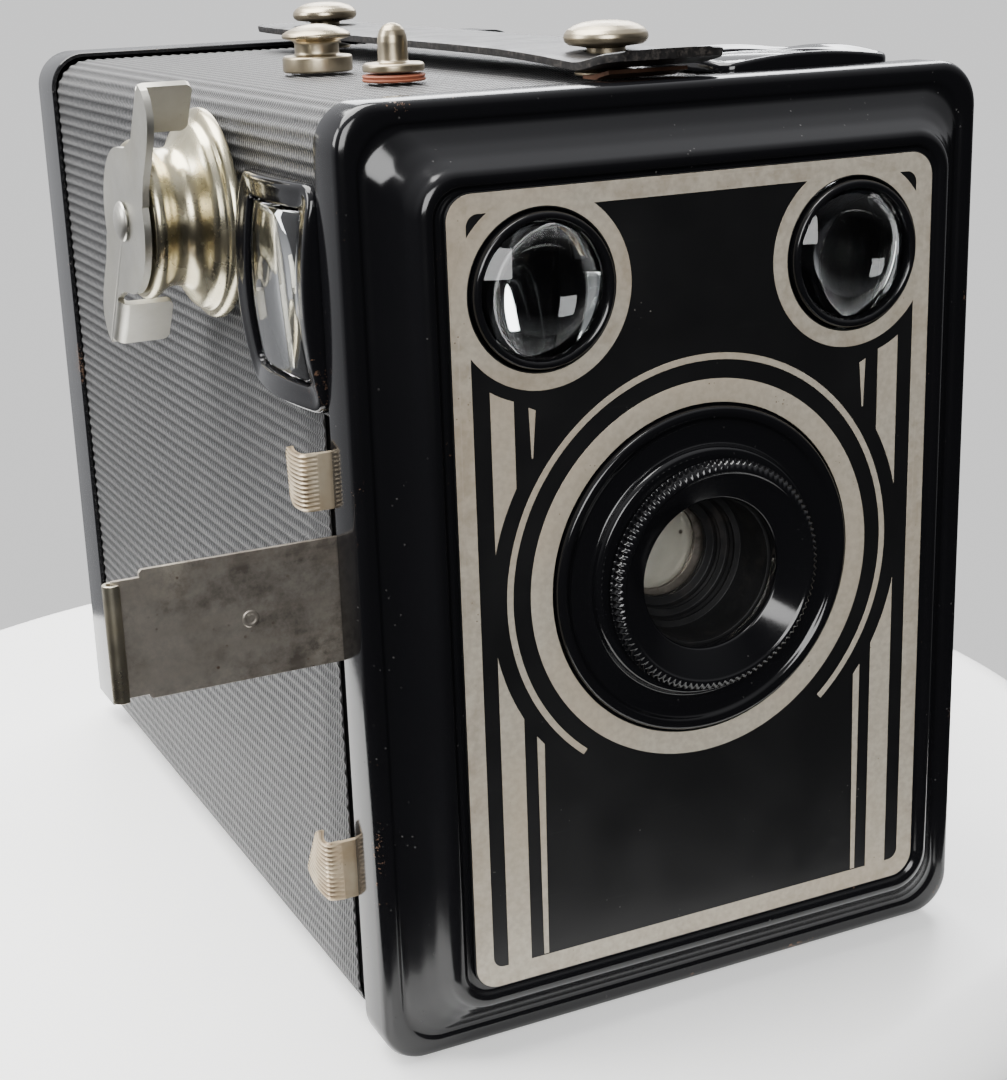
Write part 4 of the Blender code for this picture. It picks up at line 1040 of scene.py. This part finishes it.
def fitting(name, node, shape, paint, soft):
    """A small turned part on the camera's top, with heights above its foot."""
    foot = span(node)[0].z
    turned(name, [(r, foot + h) for r, h in shape], "Z", paint, node, soft=soft)


def flash_contacts():
    stud = [(0, 0), (4.15, 0), (4.3, 0.2), (4.3, 1.75), (4.1, 1.95), (2.9, 2.0), (2.72, 2.3),
            (2.72, 3.45), (2.95, 3.75), (4.1, 4.05), (4.27, 4.3), (4.1, 4.6), (3.4, 5.0),
            (2.3, 5.4), (1.0, 5.65), (0, 5.7)]
    fitting("mushroom_stud", "flash_stud", stud, STUDS, 0.2)
    washer = [(0, 0), (3.5, 0), (3.62, 0.2), (3.55, 0.36), (3.42, 0.4), (3.55, 0.46),
              (3.6, 0.62), (3.48, 0.8), (0, 0.8)]
    fitting("fibre_washer", "contact_washer", washer, FIBRE, 0.05)
    pin = [(0, 0), (3.42, 0), (3.5, 0.12), (3.5, 0.7), (3.25, 0.92), (1.85, 1.0), (1.7, 1.2),
           (1.7, 3.2), (1.62, 3.9), (1.4, 4.5), (1.02, 4.95), (0.5, 5.22), (0, 5.3)]
    fitting("contact_post", "contact_pin", pin, STUDS, 0.12)


def strap_height(depth):
    """Height of the strap's underside, on a smooth curve through these (depth, height) points."""
    points = [(2.7, 109.1), (8.6, 108.05), (12.0, 108.1), (17.3, 108.4), (30.0, 108.8),
              (62.0, 109.0), (82.0, 109.1), (103.4, 109.2), (113.6, 109.4)]

    def slope(k):
        (d0, z0), (d1, z1) = points[max(k - 1, 0)], points[min(k + 1, len(points) - 1)]
        return (z1 - z0) / (d1 - d0)

    k = 0
    while k < len(points) - 2 and depth > points[k + 1][0]:
        k += 1
    (d0, z0), (d1, z1) = points[k], points[k + 1]
    reach = d1 - d0
    t = (depth - d0) / reach
    rise = z0 * (1 + 2 * t) * (1 - t) ** 2 + z1 * t * t * (3 - 2 * t)
    return rise + reach * t * (1 - t) * (slope(k) * (1 - t) - slope(k + 1) * t)


def strap():
    """Leather strap: crowned section with rounded edges, slit behind each stud."""
    low, high = span("carrying_strap")
    first, last = low.y - RIM, high.y - RIM
    half, thick, rows, columns, blunt = high.x, 1.1, 130, 24, 2.2
    loops = []
    for k in range(rows + 1):
        depth = first + (last - first) * k / rows
        near_end = min(depth - first, last - depth)
        width = half
        if near_end < blunt:
            width -= blunt - math.sqrt(max(0.0, blunt ** 2 - (blunt - near_end) ** 2))
        section = []
        for j in range(columns + 1):
            u = -1 + 2 * j / columns
            crown = 0.05 * (1 - u * u) - 0.16 * max(0.0, (abs(u) - 0.93) / 0.07) ** 2
            section.append((u * width, thick + crown - 0.05))
        section += [(width, 0.55), (width - 0.12, 0.06)]
        section += [((1 - 2 * j / 12) * (width - 0.3), 0) for j in range(13)]
        section += [(-width + 0.12, 0.06), (-width, 0.55)]
        z = strap_height(depth)
        loops.append([(x, deep(depth), z + h) for x, h in section])
    count = len(loops[0])
    edge = (0, columns, columns + 1, columns + 2, count - 2, count - 1)
    worn = [float(j in edge or k in (0, rows)) for k in range(rows + 1) for j in range(count)]
    piece = make("leather_strap", *skin(loops), LEATHER, "carrying_strap", angle=60, wear=worn)
    holes = []
    for node in ("strap_stud_front", "strap_stud_rear"):
        x, y = spot = across(node, "Z")
        slit = oblong(x - 0.2, x + 0.2, y + 2.0, y + 8.5)
        holes += [drill(2.6, spot, "Z", 105, 114), cutter(slit, "Z", 105, 114)]
    carve(piece, *holes, folded=True)
    for node, name in (("strap_stud_front", "front_strap_stud"),
                       ("strap_stud_rear", "rear_strap_stud")):
        low, high = span(node)
        tall = high.z - low.z
        cap = [(2.2, -2.9), (4.2, -2.65), (4.65, -2.3), (4.8, -1.85), (4.7, -1.4), (4.3, -0.95),
               (3.6, -0.55), (2.6, -0.22), (1.4, -0.06), (0, 0)]
        shape = [(0, 0), (3.6, 0), (3.6, 0.4), (2.2, 0.7)] + [(r, tall + h) for r, h in cap]
        fitting(name, node, shape, STUDS, 0.12)


# Inside ------------------------------------------------------

def spools():
    for node in ("take_up_spool", "feed_spool"):
        low, high = span(node)
        half = (high.x - low.x) / 2
        rim = [(2.6, 0), (12.4, 0), (12.4, 0.8), (11.4, 0.62), (6.0, 0.8)]
        profile = [(r, h - half) for r, h in rim] + [(r, half - h) for r, h in reversed(rim)]
        piece = turned(node + "_turned", profile, "X", SPOOLS, node, body=node, soft=0.12)


def rollers():
    barrel = 31.6                               # half of the thick part's length
    for node in ("film_roller_top", "film_roller_bottom"):
        end = span(node)[1].x
        profile = [(0, -end), (0.9, -end), (0.9, -barrel), (2.6, -barrel), (2.6, barrel),
                   (0.9, barrel), (0.9, end), (0, end)]
        piece = turned(node + "_turned", profile, "X", NICKEL, node, body=node, steps=48, soft=0.2)


def taking_lens():
    low, high = span("meniscus_lens")
    half, front_rise, back_rise = 6.8, 1.0, 1.6
    shape = [(r, low.y + b) for r, b in dome(half, front_rise)]
    shape += [(r, high.y - back_rise + b) for r, b in reversed(dome(half, back_rise))]
    turned("glass_meniscus", shape, "Y", GLASS, "meniscus_lens", LENS, steps=64, soft=0)


def shutter_blade():
    """Rotating steel sector with the hole that passes the lens."""
    pivot, reach = (0.0, 28.0), 26.0
    low, high = span("shutter_disc")
    outline = arc(33.0, 74, 166, 48, pivot) + arc(5.0, 180, 420, 32, pivot)
    piece = prism("steel_shutter_blade", outline, "Y", low.y, high.y, BLADE, "shutter_disc",
                  "shutter_disc")
    turn = math.radians(120)
    hole = (pivot[0] + reach * math.cos(turn), pivot[1] + reach * math.sin(turn))
    carve(piece, drill(6.0, hole, "Y", low.y - 1, high.y + 1, 64),
          drill(1.9, pivot, "Y", low.y - 1, high.y + 1))
    bevel(piece, 0.06)


def carried_over():
    """The CAD nodes that stay in view get these finishes and softened edges."""
    kept = dict.fromkeys(("mirror_bracket_left", "mirror_bracket_right", "slide_channel",
                          "shutter_board", "lens_retaining_ring", "body_shell", "film_cone",
                          "film_gate", "carrier_side_left", "carrier_side_right",
                          "pressure_plate"), INNER)
    kept.update(finder_mirror_left=MIRROR, finder_mirror_right=MIRROR, shutter_spring=NICKEL,
                strap_plate=COPPER, pressure_spring=STEEL, door_catch=STEEL)
    for name, paint in kept.items():
        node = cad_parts[name]
        if not node.data.materials:
            node.data.materials.append(None)
        for k in range(len(node.data.materials)):
            node.data.materials[k] = paint
        if name != "shutter_spring":
            bevel(node, 0.08, 2, 35)


# Stage -------------------------------------------------------

def stage():
    floor, rim, deck = CAD_BOX[0].z / MM, TABLE_R - 6, 0.2
    profile = [(0, floor - deck), (rim, floor - deck), (TABLE_R, floor - 6),
               (TABLE_R, floor - 14), (0, floor - 14)]
    table = turned("turntable", profile, "Z", floor_paint(), centre=TABLE_CENTRE, body=None,
                   steps=256, soft=5.0)


def light(name, place, size, power, colour=(1.0, 1.0, 1.0)):
    """Soft rectangular light, aimed at the middle of the body."""
    data = bpy.data.lights.new(name, "AREA")
    data.shape = "RECTANGLE"
    data.size, data.size_y = size
    data.energy = power
    data.color = colour
    way = Vector((0.0, 0.04, 0.05)) - Vector(place)
    install(name, data, place, way.to_track_quat("-Z", "Y").to_euler())


def lights():
    """Four softboxes, and a world that is darker to reflect than to look at."""
    light("softbox_above", (-0.25, 0.3, 0.95), (0.9, 0.8), 30.0, (1.0, 0.99, 0.97))
    light("softbox_left", (-0.95, 0.35, 0.5), (0.4, 0.5), 7.0)
    light("window_behind", (0.6, 0.95, 0.7), (0.9, 0.5), 14.0, (0.97, 0.98, 1.0))
    light("fill_front", (-0.4, -0.85, 0.42), (0.5, 0.5), 8.0)
    world = bpy.data.worlds.new("studio")
    bpy.context.scene.world = world
    world.use_nodes = True
    tree = world.node_tree
    back = tree.nodes["Background"]
    shade = ramp_of(tree, (0.0, 0.6, 0.8), 0.42, 0.86, (0.024, 0.024, 0.026, 1),
                    (0.92, 0.93, 0.96, 1))
    seen = ramp_of(tree, (0.0, 0.0, 1.0), 0.42, 0.72, (1.0, 1.0, 1.0, 1), (0.95, 0.96, 0.98, 1))
    mix = tree.nodes.new("ShaderNodeMix")
    mix.data_type = "RGBA"
    path = tree.nodes.new("ShaderNodeLightPath")
    tree.links.new(path.outputs["Is Camera Ray"], mix.inputs[0])
    tree.links.new(shade, mix.inputs[6])
    tree.links.new(seen, mix.inputs[7])
    tree.links.new(mix.outputs[2], back.inputs["Color"])


def ramp_of(tree, way, low, high, dark, pale):
    """A colour that runs from dark to pale along one direction of the surroundings."""
    coord, along_way, spread, ramp = (tree.nodes.new("ShaderNode" + kind) for kind in
                                      ("TexCoord", "VectorMath", "MapRange", "ValToRGB"))
    along_way.operation = "DOT_PRODUCT"
    along_way.inputs[1].default_value = way
    spread.inputs["From Min"].default_value = -1.0
    tree.links.new(coord.outputs["Generated"], along_way.inputs[0])
    tree.links.new(along_way.outputs["Value"], spread.inputs["Value"])
    tree.links.new(spread.outputs["Result"], ramp.inputs["Fac"])
    first, last = ramp.color_ramp.elements
    first.position, last.position = low, high
    first.color, last.color = dark, pale
    return ramp.outputs["Color"]


def camera():
    data = bpy.data.cameras.new("camera")
    data.lens = CAMERA_LENS
    data.sensor_width = 36
    data.clip_start = 0.01
    turn = [math.radians(a) for a in CAMERA_TURN]
    bpy.context.scene.camera = install("camera", data, CAMERA_PLACE, turn)


# Build -------------------------------------------------------

camera()
front_frame()
face_plate()
lens_front()
finders()
windows()
body_covering()
rear_door()
hinge()
tripod()
winder()
levers()
filter_slide()
flash_contacts()
strap()
spools()
rollers()
taking_lens()
shutter_blade()
carried_over()
stage()
lights()
